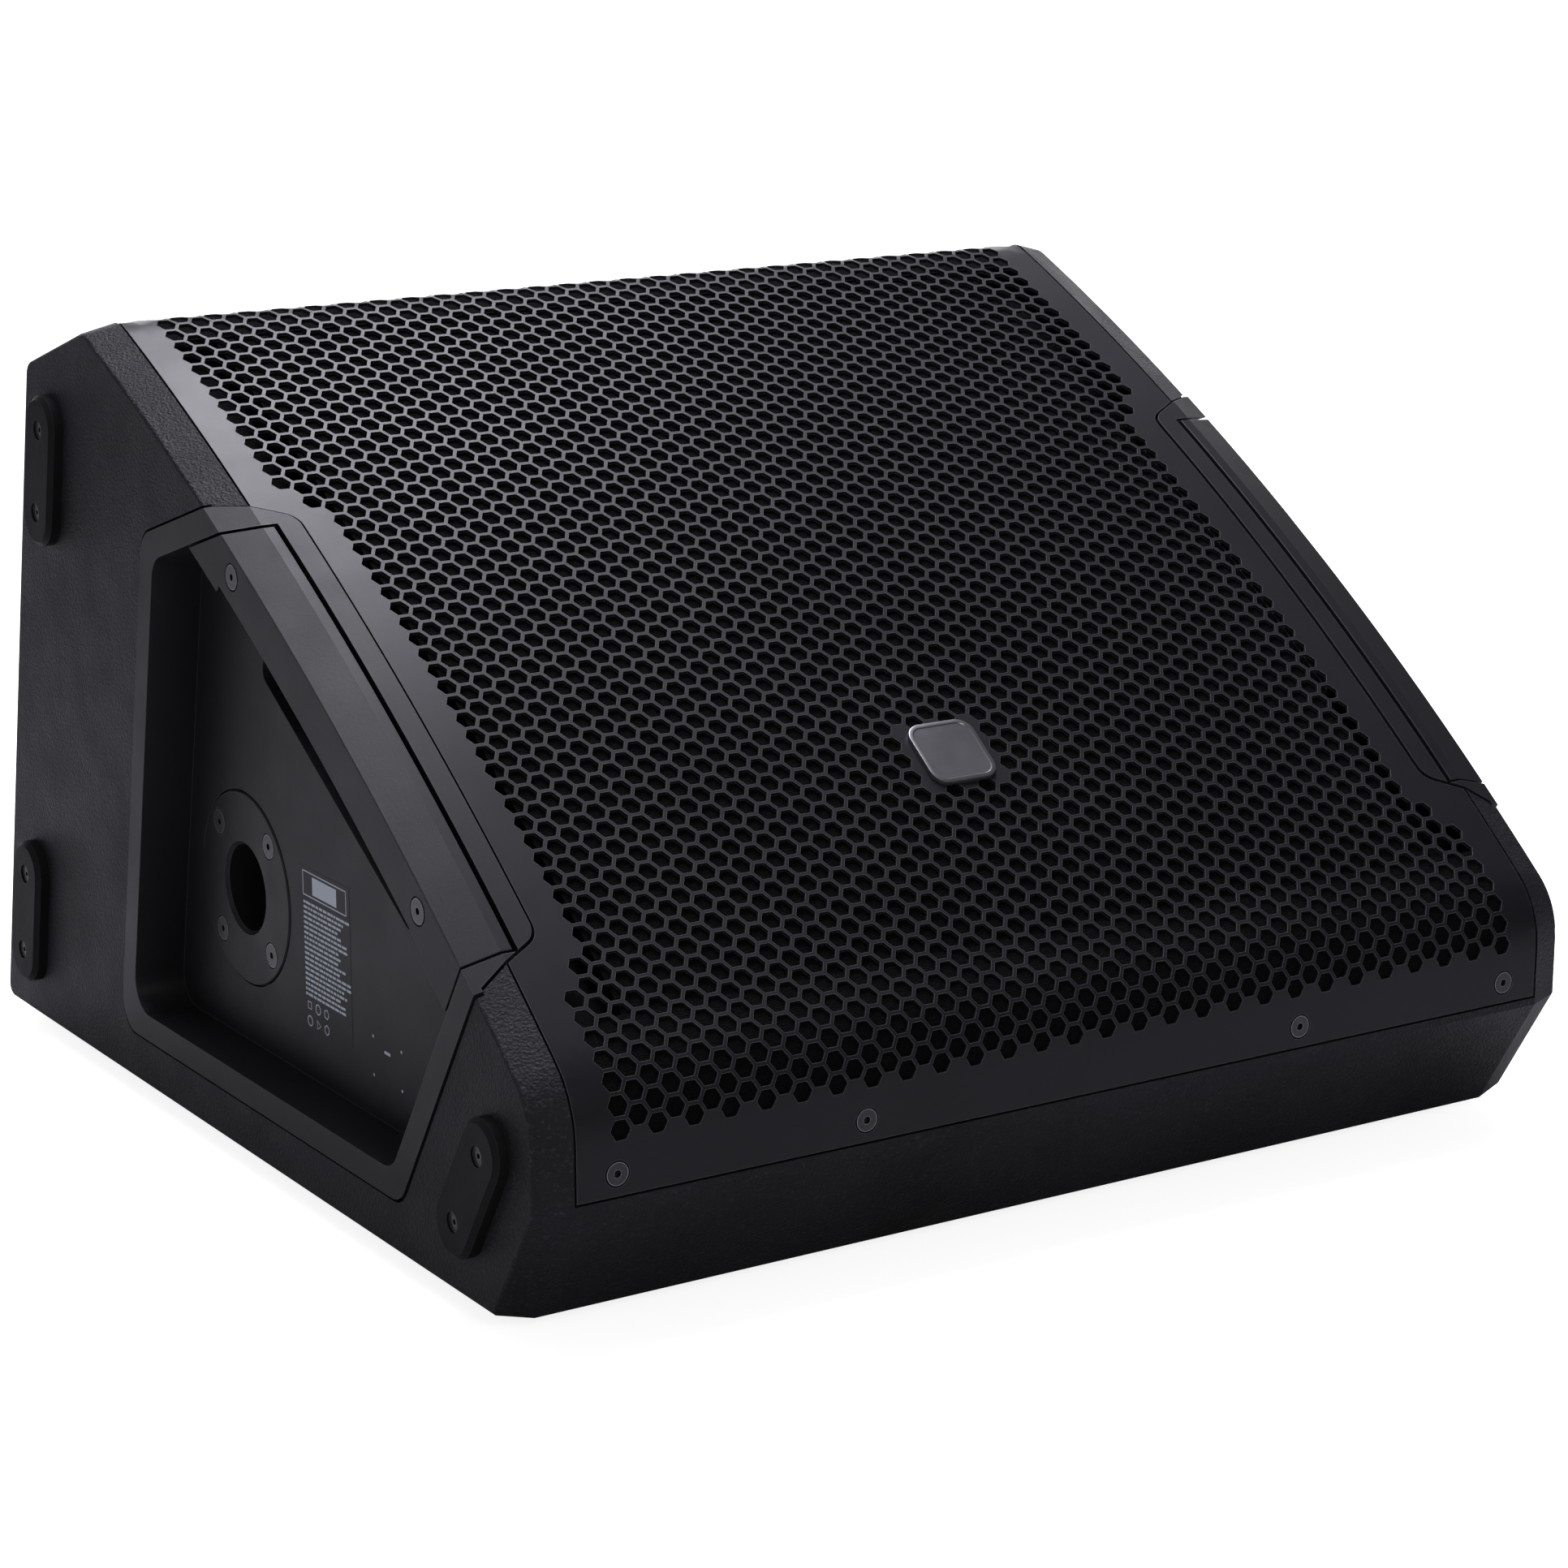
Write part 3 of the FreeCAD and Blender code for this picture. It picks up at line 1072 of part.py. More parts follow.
# ================================================================ nodes
def build():
    """Every node of the monitor, by name."""
    space = cup_envelope()
    both = [space, mirrored(space)]
    bottom, back, top, rail, baffle = cabinet_boards()
    pads, pad_screws = side_bumpers()
    foot_pads, foot_screws = feet()
    sheet, foam, badge, grille_screws = grille_parts()
    driver, driver_bolts = loudspeaker()
    tubes, tube_holes = port_tubes()
    socket, socket_screws = pole_socket()
    grip = grip_bar()
    grip_screws, grip_wells = bar_screws()
    amp, amp_bolts = amplifier()
    all_pads = pads + [mirrored(pad) for pad in pads]
    all_pad_screws = pad_screws + [mirrored(part) for part in pad_screws]
    all_grip_screws = grip_screws + [mirrored(part) for part in grip_screws]

    driver_hole = on_driver_axis(ring(0.0, DRIVER_HOLE_R, -2 * WALL, WALL))
    baffle = without(baffle, both + tube_holes + [driver_hole] + driver_bolts)
    rail = without(rail, both + blanks(grille_screws))
    bottom = without(bottom, blanks(foot_screws))
    cheek = without(cheek_board(), [space] + blanks(pad_screws))
    cup = without(handle_cup(), blanks(grip_screws))
    floor_opening = prism(panel_corners(PANEL_LIP), RECESS_X - WALL, RECESS_X + 1.0, 4.0)
    right_cup = without(cup, [floor_opening] + amp_bolts)
    tube_hole = rod(POLE_TUBE_R, RECESS_X - WALL, RECESS_X, POLE_Y, POLE_Z)
    backing = rod(POLE_FLANGE_R + POLE_BACKING, POLE_SEAT_X - CUP_T, RECESS_X - CUP_T, POLE_Y, POLE_Z)
    seat = rod(POLE_FLANGE_R + WELL_GAP, POLE_SEAT_X, RECESS_X + WALL, POLE_Y, POLE_Z)
    left_cup = mirrored(without(joined([cup, backing]), [seat, tube_hole] + blanks(socket_screws)))
    bar = without(grip, blanks(grip_screws) + grip_wells)
    strips = [without(strip, both + [driver_hole] + driver_bolts + tube_holes) for strip in cleats()]

    nodes = {
        "bottom_board": bottom,
        "back_board": back,
        "top_board": top,
        "front_rail": rail,
        "baffle_board": baffle,
        "baffle_cleats": group(strips),
        "right_cheek": cheek,
        "left_cheek": mirrored(cheek),
        "grille": sheet,
        "grille_foam": foam,
        "grille_badge": badge,
        "grille_screws": finished(grille_screws),
        "right_handle_cup": right_cup,
        "left_handle_cup": left_cup,
        "right_grip_bar": bar,
        "left_grip_bar": mirrored(bar),
        "grip_bar_screws": finished(all_grip_screws),
        "pole_socket": mirrored(socket),
        "pole_socket_screws": finished([mirrored(part) for part in socket_screws]),
        "rating_plate": mirrored(rating_plate()),
        "side_bumpers": group(all_pads),
        "bumper_screws": finished(all_pad_screws),
        "rubber_feet": group(foot_pads),
        "foot_screws": finished(foot_screws),
        "port_tubes": group(tubes),
        "damping_pads": damping_pads(),
    }
    nodes.update(driver)
    nodes.update(amp)
    return nodes


def main():
    """Write one STEP file per node."""
    os.makedirs("parts", exist_ok=True)
    for name, shape in build().items():
        save(name, shape)


main()
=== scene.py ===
"""Looks of an active stage monitor wedge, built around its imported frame.

Metres. +Z is up, the front lip faces -Y and the cheek with the pole socket faces -X.
"""

import logging
import math
import random
from dataclasses import dataclass, field, replace
from enum import Enum
from typing import Iterable, Sequence

import bmesh
import bpy
from mathutils import Matrix, Vector
from mathutils.geometry import intersect_line_sphere_2d


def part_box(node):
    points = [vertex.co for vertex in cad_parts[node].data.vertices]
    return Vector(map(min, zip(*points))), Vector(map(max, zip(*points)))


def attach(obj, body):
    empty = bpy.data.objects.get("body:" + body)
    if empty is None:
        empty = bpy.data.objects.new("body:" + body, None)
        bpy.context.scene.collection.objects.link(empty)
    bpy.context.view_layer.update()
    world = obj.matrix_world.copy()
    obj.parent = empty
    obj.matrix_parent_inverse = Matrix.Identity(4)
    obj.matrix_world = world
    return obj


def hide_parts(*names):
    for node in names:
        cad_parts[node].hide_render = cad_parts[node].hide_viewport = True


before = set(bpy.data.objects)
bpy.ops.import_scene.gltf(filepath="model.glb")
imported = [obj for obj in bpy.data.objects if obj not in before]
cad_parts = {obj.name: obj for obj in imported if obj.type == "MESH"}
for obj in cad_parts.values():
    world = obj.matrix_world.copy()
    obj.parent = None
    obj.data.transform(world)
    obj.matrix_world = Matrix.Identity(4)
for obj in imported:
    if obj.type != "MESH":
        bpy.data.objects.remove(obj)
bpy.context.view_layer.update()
LOG = logging.getLogger("monitor_wedge")
MM = 0.001
CABINET = "cabinet"
ON_PLANE = 1e-7
SEAM_GAP = 0.002 * MM
FLAT_ANGLE = 0.6
RIM_ANGLE = 60.0

Colour = tuple[float, float, float]
Point = tuple[float, float, float]
Spot = tuple[float, float]


class Grain(Enum):
    """Surface textures that the finishes choose from."""

    SPECKLE = "speckled coating"
    FINE = "fine moulded grain"
    BRUSHED = "brushed metal"
    WEAVE = "cloth weave"
    CAST = "rough casting"
    PORES = "open foam"
    WOOD = "plywood"


# Node helpers
def add_node(tree: bpy.types.NodeTree, kind: str, **settings: object) -> bpy.types.Node:
    """Add a node and set its plain properties.

    Args:
        tree: the tree to add it to.
        kind: the node's Blender type name.
        settings: properties of the node, by name.

    Returns:
        The new node.
    """
    node = tree.nodes.new(kind)
    for name, value in settings.items():
        setattr(node, name, value)
    return node


def wire(tree: bpy.types.NodeTree, source: object, target: object) -> None:
    """Link an output to an input, or set the input when the source is a plain value.

    Args:
        tree: the tree that both sockets are in.
        source: an output socket, or a number, colour or vector.
        target: the input socket.
    """
    if isinstance(source, bpy.types.NodeSocket):
        tree.links.new(source, target)
    else:
        target.default_value = source


def maths(tree: bpy.types.NodeTree, operation: str, *values: object,
          clamp: bool = False) -> bpy.types.NodeSocket:
    """Put one Math node in the tree.

    Args:
        tree: the tree.
        operation: the Math node's operation.
        values: sockets or numbers for its inputs, in order.
        clamp: keeps the result between 0 and 1.

    Returns:
        The result socket.
    """
    node = add_node(tree, "ShaderNodeMath", operation=operation, use_clamp=clamp)
    for value, socket in zip(values, node.inputs):
        wire(tree, value, socket)
    return node.outputs[0]


def blended(tree: bpy.types.NodeTree, amount: object, first: object,
            second: object) -> bpy.types.NodeSocket:
    """Mix two colours.

    Args:
        tree: the tree.
        amount: socket or number, 0 for the first colour and 1 for the second.
        first: socket or colour.
        second: socket or colour.

    Returns:
        The mixed colour.
    """
    node = add_node(tree, "ShaderNodeMix", data_type="RGBA", blend_type="MIX")
    wire(tree, amount, node.inputs[0])
    wire(tree, first, node.inputs[6])
    wire(tree, second, node.inputs[7])
    return node.outputs[2]


def ranged(tree: bpy.types.NodeTree, value: object, low: object, high: object,
           out_low: object = 0.0, out_high: object = 1.0) -> bpy.types.NodeSocket:
    """Map a value from one range to another, clamped.

    Args:
        tree: the tree.
        value: socket to map.
        low: start of its range.
        high: end of its range.
        out_low: what the start becomes.
        out_high: what the end becomes.

    Returns:
        The mapped value.
    """
    node = add_node(tree, "ShaderNodeMapRange")
    for socket, item in zip(node.inputs, (value, low, high, out_low, out_high)):
        wire(tree, item, socket)
    return node.outputs[0]


def noise(tree: bpy.types.NodeTree, vector: object, scale: object, detail: float = 2.0,
          rough: float = 0.5) -> bpy.types.NodeSocket:
    """Noise texture at a place.

    Args:
        tree: the tree.
        vector: coordinates.
        scale: features per metre.
        detail: octaves.
        rough: weight of the finer octaves.

    Returns:
        The noise value, about 0.3 to 0.7.
    """
    node = add_node(tree, "ShaderNodeTexNoise")
    wire(tree, vector, node.inputs["Vector"])
    wire(tree, scale, node.inputs["Scale"])
    node.inputs["Detail"].default_value = detail
    node.inputs["Roughness"].default_value = rough
    return node.outputs["Fac"]


def cells(tree: bpy.types.NodeTree, vector: object, scale: object,
          feature: str = "F1") -> bpy.types.Node:
    """Voronoi texture at a place.

    Args:
        tree: the tree.
        vector: coordinates.
        scale: cells per metre.
        feature: the Voronoi feature.

    Returns:
        The texture node.
    """
    node = add_node(tree, "ShaderNodeTexVoronoi", feature=feature)
    wire(tree, vector, node.inputs["Vector"])
    wire(tree, scale, node.inputs["Scale"])
    return node


class EffectGroup:
    """A shader node group with named inputs and outputs, built once."""

    def __init__(self, name: str, inputs: dict[str, str], outputs: dict[str, str]) -> None:
        """Make the group's sockets.

        Args:
            name: the group's name.
            inputs: socket kind of each input, by name.
            outputs: socket kind of each output, by name.
        """
        self.tree = bpy.data.node_groups.new(name, "ShaderNodeTree")
        for label, kind in inputs.items():
            self.tree.interface.new_socket(name=label, in_out="INPUT", socket_type=kind)
        for label, kind in outputs.items():
            self.tree.interface.new_socket(name=label, in_out="OUTPUT", socket_type=kind)
        self.entry = add_node(self.tree, "NodeGroupInput").outputs
        self.exit = add_node(self.tree, "NodeGroupOutput").inputs

    def give(self, label: str, source: object) -> None:
        """Send a socket to one of the group's outputs."""
        wire(self.tree, source, self.exit[label])

    def placed(self, tree: bpy.types.NodeTree, **values: object) -> bpy.types.bpy_prop_collection:
        """Use the group in a material.

        Args:
            tree: the material's tree.
            values: sockets or values for its inputs, with underscores for spaces in names.

        Returns:
            The outputs of the placed group.
        """
        node = add_node(tree, "ShaderNodeGroup", node_tree=self.tree)
        for label, value in values.items():
            wire(tree, value, node.inputs[label.replace("_", " ")])
        return node.outputs


FLOAT, VECTOR, COLOUR = "NodeSocketFloat", "NodeSocketVector", "NodeSocketColor"


class Effects:
    """The groups that the finishes share."""

    def __init__(self) -> None:
        """Build every group."""
        self.grain = {kind: self.grain_group(kind) for kind in Grain}
        self.tone = self.tone_group()
        # Painted edge highlight shared by the finishes.
        self.edge = self.edge_highlight_group()

    def grain_group(self, kind: Grain) -> EffectGroup:
        """Build the height field of one texture.

        Args:
            kind: which texture.

        Returns:
            A group that puts out Height, and Fleck for the odd lighter grains, which on the
            speckled coating are painted glints.
        """
        group = EffectGroup(f"{kind.name.title()}Grain", {"Vector": VECTOR, "Scale": FLOAT},
                            {"Height": FLOAT, "Fleck": FLOAT})
        tree, vector, scale = group.tree, group.entry["Vector"], group.entry["Scale"]
        fine = noise(tree, vector, scale, 3.0, 0.6)
        broad = noise(tree, vector, maths(tree, "MULTIPLY", scale, 0.23), 1.0)
        if kind is Grain.SPECKLE:
            coarse = maths(tree, "MULTIPLY", scale, 0.7)
            lumps = cells(tree, vector, coarse, "SMOOTH_F1").outputs["Distance"]
            height = maths(tree, "ADD", maths(tree, "MULTIPLY", lumps, -0.9),
                           maths(tree, "MULTIPLY", fine, 1.3))
            # Painted glints: random cells of the speckled coating are lightened to stand in for
            # tiny highlights.
            glint = cells(tree, vector, maths(tree, "MULTIPLY", scale, 0.9)).outputs["Color"]
            lone = add_node(tree, "ShaderNodeSeparateColor")
            wire(tree, glint, lone.inputs[0])
            fleck = ranged(tree, lone.outputs[0], 0.86, 0.97)
        elif kind is Grain.BRUSHED:
            height = maths(tree, "ADD", fine, maths(tree, "MULTIPLY", broad, 0.5))
            fleck = ranged(tree, fine, 0.55, 0.75)
        elif kind is Grain.WEAVE:
            waves = []
            for way in ("X", "Z"):
                wave = add_node(tree, "ShaderNodeTexWave", bands_direction=way)
                wire(tree, vector, wave.inputs["Vector"])
                wire(tree, scale, wave.inputs["Scale"])
                waves.append(wave.outputs["Fac"])
            height = maths(tree, "MAXIMUM", *waves)
            fleck = ranged(tree, fine, 0.5, 0.7)
        elif kind is Grain.PORES:
            pore = cells(tree, vector, scale, "DISTANCE_TO_EDGE").outputs["Distance"]
            height = ranged(tree, pore, 0.0, 0.25, 1.0, 0.0)
            fleck = ranged(tree, broad, 0.5, 0.7)
        elif kind is Grain.WOOD:
            height = maths(tree, "ADD", maths(tree, "MULTIPLY", fine, 0.6), broad)
            fleck = ranged(tree, broad, 0.45, 0.65)
        elif kind is Grain.CAST:
            coarse = maths(tree, "MULTIPLY", scale, 0.5)
            lumps = cells(tree, vector, coarse, "SMOOTH_F1").outputs["Distance"]
            height = maths(tree, "ADD", lumps, fine)
            fleck = ranged(tree, fine, 0.58, 0.72)
        else:
            height = maths(tree, "ADD", fine, maths(tree, "MULTIPLY", broad, 0.4))
            fleck = ranged(tree, fine, 0.6, 0.8)
        group.give("Height", height)
        group.give("Fleck", fleck)
        return group

    def tone_group(self) -> EffectGroup:
        """Build the slow drift of colour and gloss over a surface.

        Returns:
            A group that puts out Colour and Rough.
        """
        group = EffectGroup("ToneDrift", {"Vector": VECTOR, "Base": COLOUR, "Accent": COLOUR,
                                          "Fleck": FLOAT, "Fleck Share": FLOAT, "Rough Low": FLOAT,
                                          "Rough High": FLOAT},
                            {"Colour": COLOUR, "Rough": FLOAT})
        tree, entry = group.tree, group.entry
        drift = ranged(tree, noise(tree, entry["Vector"], 9.0, 4.0, 0.55), 0.35, 0.65)
        smear = ranged(tree, noise(tree, entry["Vector"], 42.0, 3.0, 0.6), 0.35, 0.7)
        mixed = blended(tree, maths(tree, "MULTIPLY", drift, 0.35), entry["Base"], entry["Accent"])
        # Fleck lightens odd grains towards the accent; on the speckled coating these are painted
        # glints.
        flecked = blended(tree, maths(tree, "MULTIPLY", entry["Fleck"], entry["Fleck Share"]),
                          mixed, entry["Accent"])
        group.give("Colour", flecked)
        share = maths(tree, "ADD", maths(tree, "MULTIPLY", drift, 0.45),
                      maths(tree, "MULTIPLY", smear, 0.55))
        group.give("Rough", ranged(tree, share, 0.0, 1.0, entry["Rough Low"], entry["Rough High"]))
        return group

    def edge_highlight_group(self) -> EffectGroup:
        """Build the painted edge highlight: a thin lighter line along edges.

        Returns:
            A group that puts out Colour.
        """
        group = EffectGroup("PaintedEdgeHighlight", {"Colour": COLOUR, "Worn": COLOUR, "Radius": FLOAT,
                                           "Amount": FLOAT}, {"Colour": COLOUR})
        tree, entry = group.tree, group.entry
        round_off = add_node(tree, "ShaderNodeBevel", samples=6)
        wire(tree, entry["Radius"], round_off.inputs["Radius"])
        shape = add_node(tree, "ShaderNodeNewGeometry")
        dot = add_node(tree, "ShaderNodeVectorMath", operation="DOT_PRODUCT")
        wire(tree, round_off.outputs[0], dot.inputs[0])
        wire(tree, shape.outputs["Normal"], dot.inputs[1])
        # Painted highlight: the colour turns towards the highlight tint along edges, where the
        # rounded normal leaves the face normal.
        lift = ranged(tree, dot.outputs["Value"], 0.995, 0.86)
        edge = maths(tree, "MULTIPLY", lift, entry["Amount"], clamp=True)
        group.give("Colour", blended(tree, edge, entry["Colour"], entry["Worn"]))
        return group


@dataclass(frozen=True)
class Finish:
    """One procedural material: its colours, grain, gloss and painted edge highlight."""

    name: str
    base: Colour
    accent: Colour
    roughness: tuple[float, float]
    grain: Grain
    scale: float
    bump: float
    fleck_and_glint_share: float = 0.3
    stretch: Point = (1.0, 1.0, 1.0)
    metallic: float = 0.0
    specular: float = 0.5
    # The next three fields set the painted edge highlight: its colour, its strength and its width.
    highlight_tint: Colour = (0.2, 0.2, 0.21)
    edge: float = 0.0
    highlight_radius: float = 0.6 * MM
    coat: float = 0.0
    sheen: float = 0.0
    glow: float = 0.0

    def material(self, effects: Effects) -> bpy.types.Material:
        """Build the material.

        Args:
            effects: the shared groups.

        Returns:
            The new material.
        """
        material = bpy.data.materials.new(self.name)
        material.use_nodes = True
        tree = material.node_tree
        shader = tree.nodes["Principled BSDF"]
        place = add_node(tree, "ShaderNodeTexCoord").outputs["Object"]
        mapping = add_node(tree, "ShaderNodeMapping")
        mapping.inputs["Scale"].default_value = self.stretch
        wire(tree, place, mapping.inputs["Vector"])
        grain = effects.grain[self.grain].placed(tree, Vector=mapping.outputs[0], Scale=self.scale)
        tone = effects.tone.placed(tree, Vector=place, Base=(*self.base, 1.0),
                                   Accent=(*self.accent, 1.0), Fleck=grain["Fleck"],
                                   Fleck_Share=self.fleck_and_glint_share, Rough_Low=self.roughness[0],
                                   Rough_High=self.roughness[1])
        colour = tone["Colour"]
        # Painted edge highlight: lighter colour along edges.
        if self.edge:
            colour = effects.edge.placed(tree, Colour=colour, Worn=(*self.highlight_tint, 1.0),
                                         Radius=self.highlight_radius, Amount=self.edge)["Colour"]
        wire(tree, colour, shader.inputs["Base Color"])
        wire(tree, tone["Rough"], shader.inputs["Roughness"])
        bump = add_node(tree, "ShaderNodeBump")
        bump.inputs["Strength"].default_value = 1.0
        bump.inputs["Distance"].default_value = self.bump
        wire(tree, grain["Height"], bump.inputs["Height"])
        wire(tree, bump.outputs[0], shader.inputs["Normal"])
        for label, value in (("Metallic", self.metallic), ("Specular IOR Level", self.specular),
                             ("Coat Weight", self.coat), ("Sheen Weight", self.sheen)):
            shader.inputs[label].default_value = value
        if self.glow:
            shader.inputs["Emission Color"].default_value = (*self.accent, 1.0)
            shader.inputs["Emission Strength"].default_value = self.glow
        return material


# The speckled coating's many light flecks are painted glints.
COATING = Finish("SpeckledCoating", (0.007, 0.007, 0.0082), (0.032, 0.033, 0.04), (0.42, 0.6),
    Grain.SPECKLE, 1150.0, 0.4 * MM, fleck_and_glint_share=0.55, specular=0.12)
# The grille's rims carry a strong painted highlight: their edges are lightened to stand in for
# glints on the holes' chamfers.
GRILLE_COAT = Finish("GrillePowderCoat", (0.009, 0.0086, 0.0104), (0.017, 0.016, 0.020),
    (0.36, 0.43), Grain.FINE, 2600.0, 0.03 * MM, fleck_and_glint_share=0.12, specular=0.15,
    highlight_tint=(0.13, 0.13, 0.138), edge=0.85, highlight_radius=0.4 * MM)
# Finishes from here on that set edge carry the painted edge highlight along their edges.
TRIM_PLASTIC = Finish("TrimPlastic", (0.0085, 0.0083, 0.0095), (0.015, 0.0146, 0.017), (0.4, 0.5),
    Grain.FINE, 2400.0, 0.05 * MM, fleck_and_glint_share=0.15, specular=0.15, highlight_tint=(0.10, 0.10, 0.11),
    edge=0.5)
BUMPER_RUBBER = Finish("BumperRubber", (0.005, 0.005, 0.0053), (0.009, 0.009, 0.0095), (0.5, 0.64),
    Grain.FINE, 1500.0, 0.09 * MM, specular=0.08, highlight_tint=(0.05, 0.05, 0.052), edge=0.4)
SCREW_BLACK = Finish("BlackenedScrew", (0.012, 0.012, 0.013), (0.05, 0.05, 0.055), (0.28, 0.42),
    Grain.CAST, 1800.0, 0.04 * MM, metallic=0.4, highlight_tint=(0.3, 0.3, 0.32), edge=0.8,
    highlight_radius=0.35 * MM)
POLE_STEEL = Finish("PoleSocketSteel", (0.008, 0.008, 0.0088), (0.017, 0.017, 0.018), (0.34, 0.48),
    Grain.FINE, 1700.0, 0.05 * MM, specular=0.14, highlight_tint=(0.12, 0.12, 0.125), edge=0.6)
PLATE_FILM = replace(TRIM_PLASTIC, name="PlateFilm", edge=0.0)
PRINT_INK = Finish("PaleInk", (0.42, 0.47, 0.52), (0.30, 0.34, 0.38), (0.5, 0.65), Grain.FINE,
    3000.0, 0.01 * MM, specular=0.3)
BADGE_METAL = Finish("BadgeMetal", (0.15, 0.15, 0.158), (0.21, 0.21, 0.22), (0.28, 0.4),
    Grain.BRUSHED, 1400.0, 0.02 * MM, stretch=(0.04, 1.0, 1.0), metallic=0.9, specular=0.5)
FOAM_BLACK = Finish("GrilleFoam", (0.0025, 0.0025, 0.0028), (0.006, 0.006, 0.006), (0.9, 1.0),
    Grain.PORES, 900.0, 0.4 * MM, specular=0.05)
BAFFLE_PAINT = Finish("BafflePaint", (0.003, 0.003, 0.0034), (0.008, 0.008, 0.008), (0.75, 0.9),
    Grain.WOOD, 110.0, 0.1 * MM, stretch=(0.06, 1.0, 1.0), specular=0.08)
PLYWOOD = Finish("BarePlywood", (0.42, 0.28, 0.15), (0.62, 0.46, 0.28), (0.55, 0.7), Grain.WOOD,
    110.0, 0.1 * MM, stretch=(0.06, 1.0, 1.0), fleck_and_glint_share=0.6)
CAST_FRAME = Finish("CastFrame", (0.02, 0.02, 0.021), (0.05, 0.05, 0.052), (0.4, 0.55), Grain.CAST,
    700.0, 0.12 * MM, metallic=0.5, edge=0.5)
FERRITE = Finish("Ferrite", (0.03, 0.03, 0.032), (0.06, 0.06, 0.062), (0.45, 0.6), Grain.CAST,
    600.0, 0.1 * MM)
ZINC = Finish("ZincPlate", (0.46, 0.46, 0.47), (0.6, 0.6, 0.58), (0.22, 0.36), Grain.BRUSHED,
    900.0, 0.02 * MM, stretch=(1.0, 1.0, 0.05), metallic=1.0)
PAPER_CONE = Finish("DopedPaper", (0.012, 0.012, 0.013), (0.03, 0.03, 0.03), (0.6, 0.75),
    Grain.CAST, 500.0, 0.15 * MM, specular=0.3)
DOPED_CLOTH = Finish("DopedCloth", (0.012, 0.011, 0.011), (0.025, 0.023, 0.022), (0.5, 0.65),
    Grain.WEAVE, 240.0, 0.15 * MM, specular=0.35)
COPPER = Finish("EnamelledWire", (0.55, 0.22, 0.09), (0.72, 0.36, 0.16), (0.25, 0.4),
    Grain.BRUSHED, 500.0, 0.1 * MM, stretch=(1.0, 1.0, 6.0), metallic=0.9, coat=0.4)
PANEL_BLACK = Finish("AnodisedPanel", (0.012, 0.012, 0.0135), (0.022, 0.022, 0.024), (0.38, 0.5),
    Grain.BRUSHED, 1800.0, 0.02 * MM, stretch=(1.0, 0.05, 1.0), metallic=0.35,
    highlight_tint=(0.18, 0.18, 0.19), edge=0.5)
SOCKET_PLASTIC = Finish("SocketPlastic", (0.009, 0.009, 0.0095), (0.02, 0.02, 0.021), (0.35, 0.5),
    Grain.FINE, 2200.0, 0.04 * MM, highlight_tint=(0.08, 0.08, 0.085), edge=0.5)
CONTACT = Finish("PlatedContact", (0.62, 0.5, 0.26), (0.75, 0.66, 0.42), (0.2, 0.32),
    Grain.BRUSHED, 1500.0, 0.01 * MM, stretch=(0.05, 1.0, 1.0), metallic=1.0)
LATCH_METAL = Finish("LatchMetal", (0.4, 0.4, 0.41), (0.55, 0.55, 0.56), (0.25, 0.38),
    Grain.BRUSHED, 1500.0, 0.02 * MM, stretch=(1.0, 0.05, 1.0), metallic=1.0, highlight_tint=(0.7, 0.7, 0.7),
    edge=0.5)
KNOB_PLASTIC = Finish("KnobPlastic", (0.012, 0.012, 0.013), (0.024, 0.024, 0.025), (0.5, 0.62),
    Grain.FINE, 1800.0, 0.06 * MM, highlight_tint=(0.07, 0.07, 0.07), edge=0.5)
LAMP_LENS = Finish("LampLens", (0.02, 0.10, 0.03), (0.05, 0.8, 0.12), (0.12, 0.2), Grain.FINE,
    900.0, 0.01 * MM, coat=0.6, glow=0.25)
LAMINATE = Finish("BoardLaminate", (0.01, 0.10, 0.035), (0.02, 0.16, 0.06), (0.3, 0.42),
    Grain.WEAVE, 420.0, 0.02 * MM)
WADDING = Finish("PolyesterWadding", (0.62, 0.62, 0.6), (0.78, 0.78, 0.77), (0.85, 0.98),
    Grain.CAST, 160.0, 1.2 * MM, specular=0.1, sheen=0.4)

NODE_FINISHES: dict[Finish, tuple[str, ...]] = {
    COATING: ("bottom_board", "back_board", "top_board", "front_rail", "right_cheek", "left_cheek"),
    BAFFLE_PAINT: ("baffle_board",),
    PLYWOOD: ("baffle_cleats",),
    FOAM_BLACK: ("grille_foam", "woofer_gasket"),
    BUMPER_RUBBER: ("side_bumpers", "rubber_feet"),
    SCREW_BLACK: ("bumper_screws", "foot_screws", "grip_bar_screws", "pole_socket_screws",
                  "woofer_screws", "amp_panel_screws", "grille_screws"),
    TRIM_PLASTIC: ("left_handle_cup", "right_handle_cup", "left_grip_bar", "right_grip_bar"),
    POLE_STEEL: ("pole_socket",),
    PLATE_FILM: ("rating_plate",),
    SOCKET_PLASTIC: ("port_tubes", "hf_horn", "input_sockets", "link_socket", "mode_switch",
                     "mains_inlet", "power_switch_frame", "capacitors"),
    CAST_FRAME: ("woofer_basket", "hf_driver_body", "heat_sink"),
    FERRITE: ("woofer_magnet",),
    ZINC: ("woofer_top_plate", "woofer_yoke", "gain_controls", "board_standoffs", "hf_diaphragm"),
    PAPER_CONE: ("woofer_cone",),
    DOPED_CLOTH: ("cone_surround", "cone_spider"),
    COPPER: ("voice_coil", "mains_transformer"),
    PANEL_BLACK: ("amp_panel",),
    CONTACT: ("connector_contacts",),
    LATCH_METAL: ("latch_tab_1", "latch_tab_2"),
    KNOB_PLASTIC: ("gain_knob_1", "gain_knob_2", "mode_button", "power_rocker"),
    LAMP_LENS: ("status_lights",),
    LAMINATE: ("circuit_board",),
    WADDING: ("damping_pads",),
}


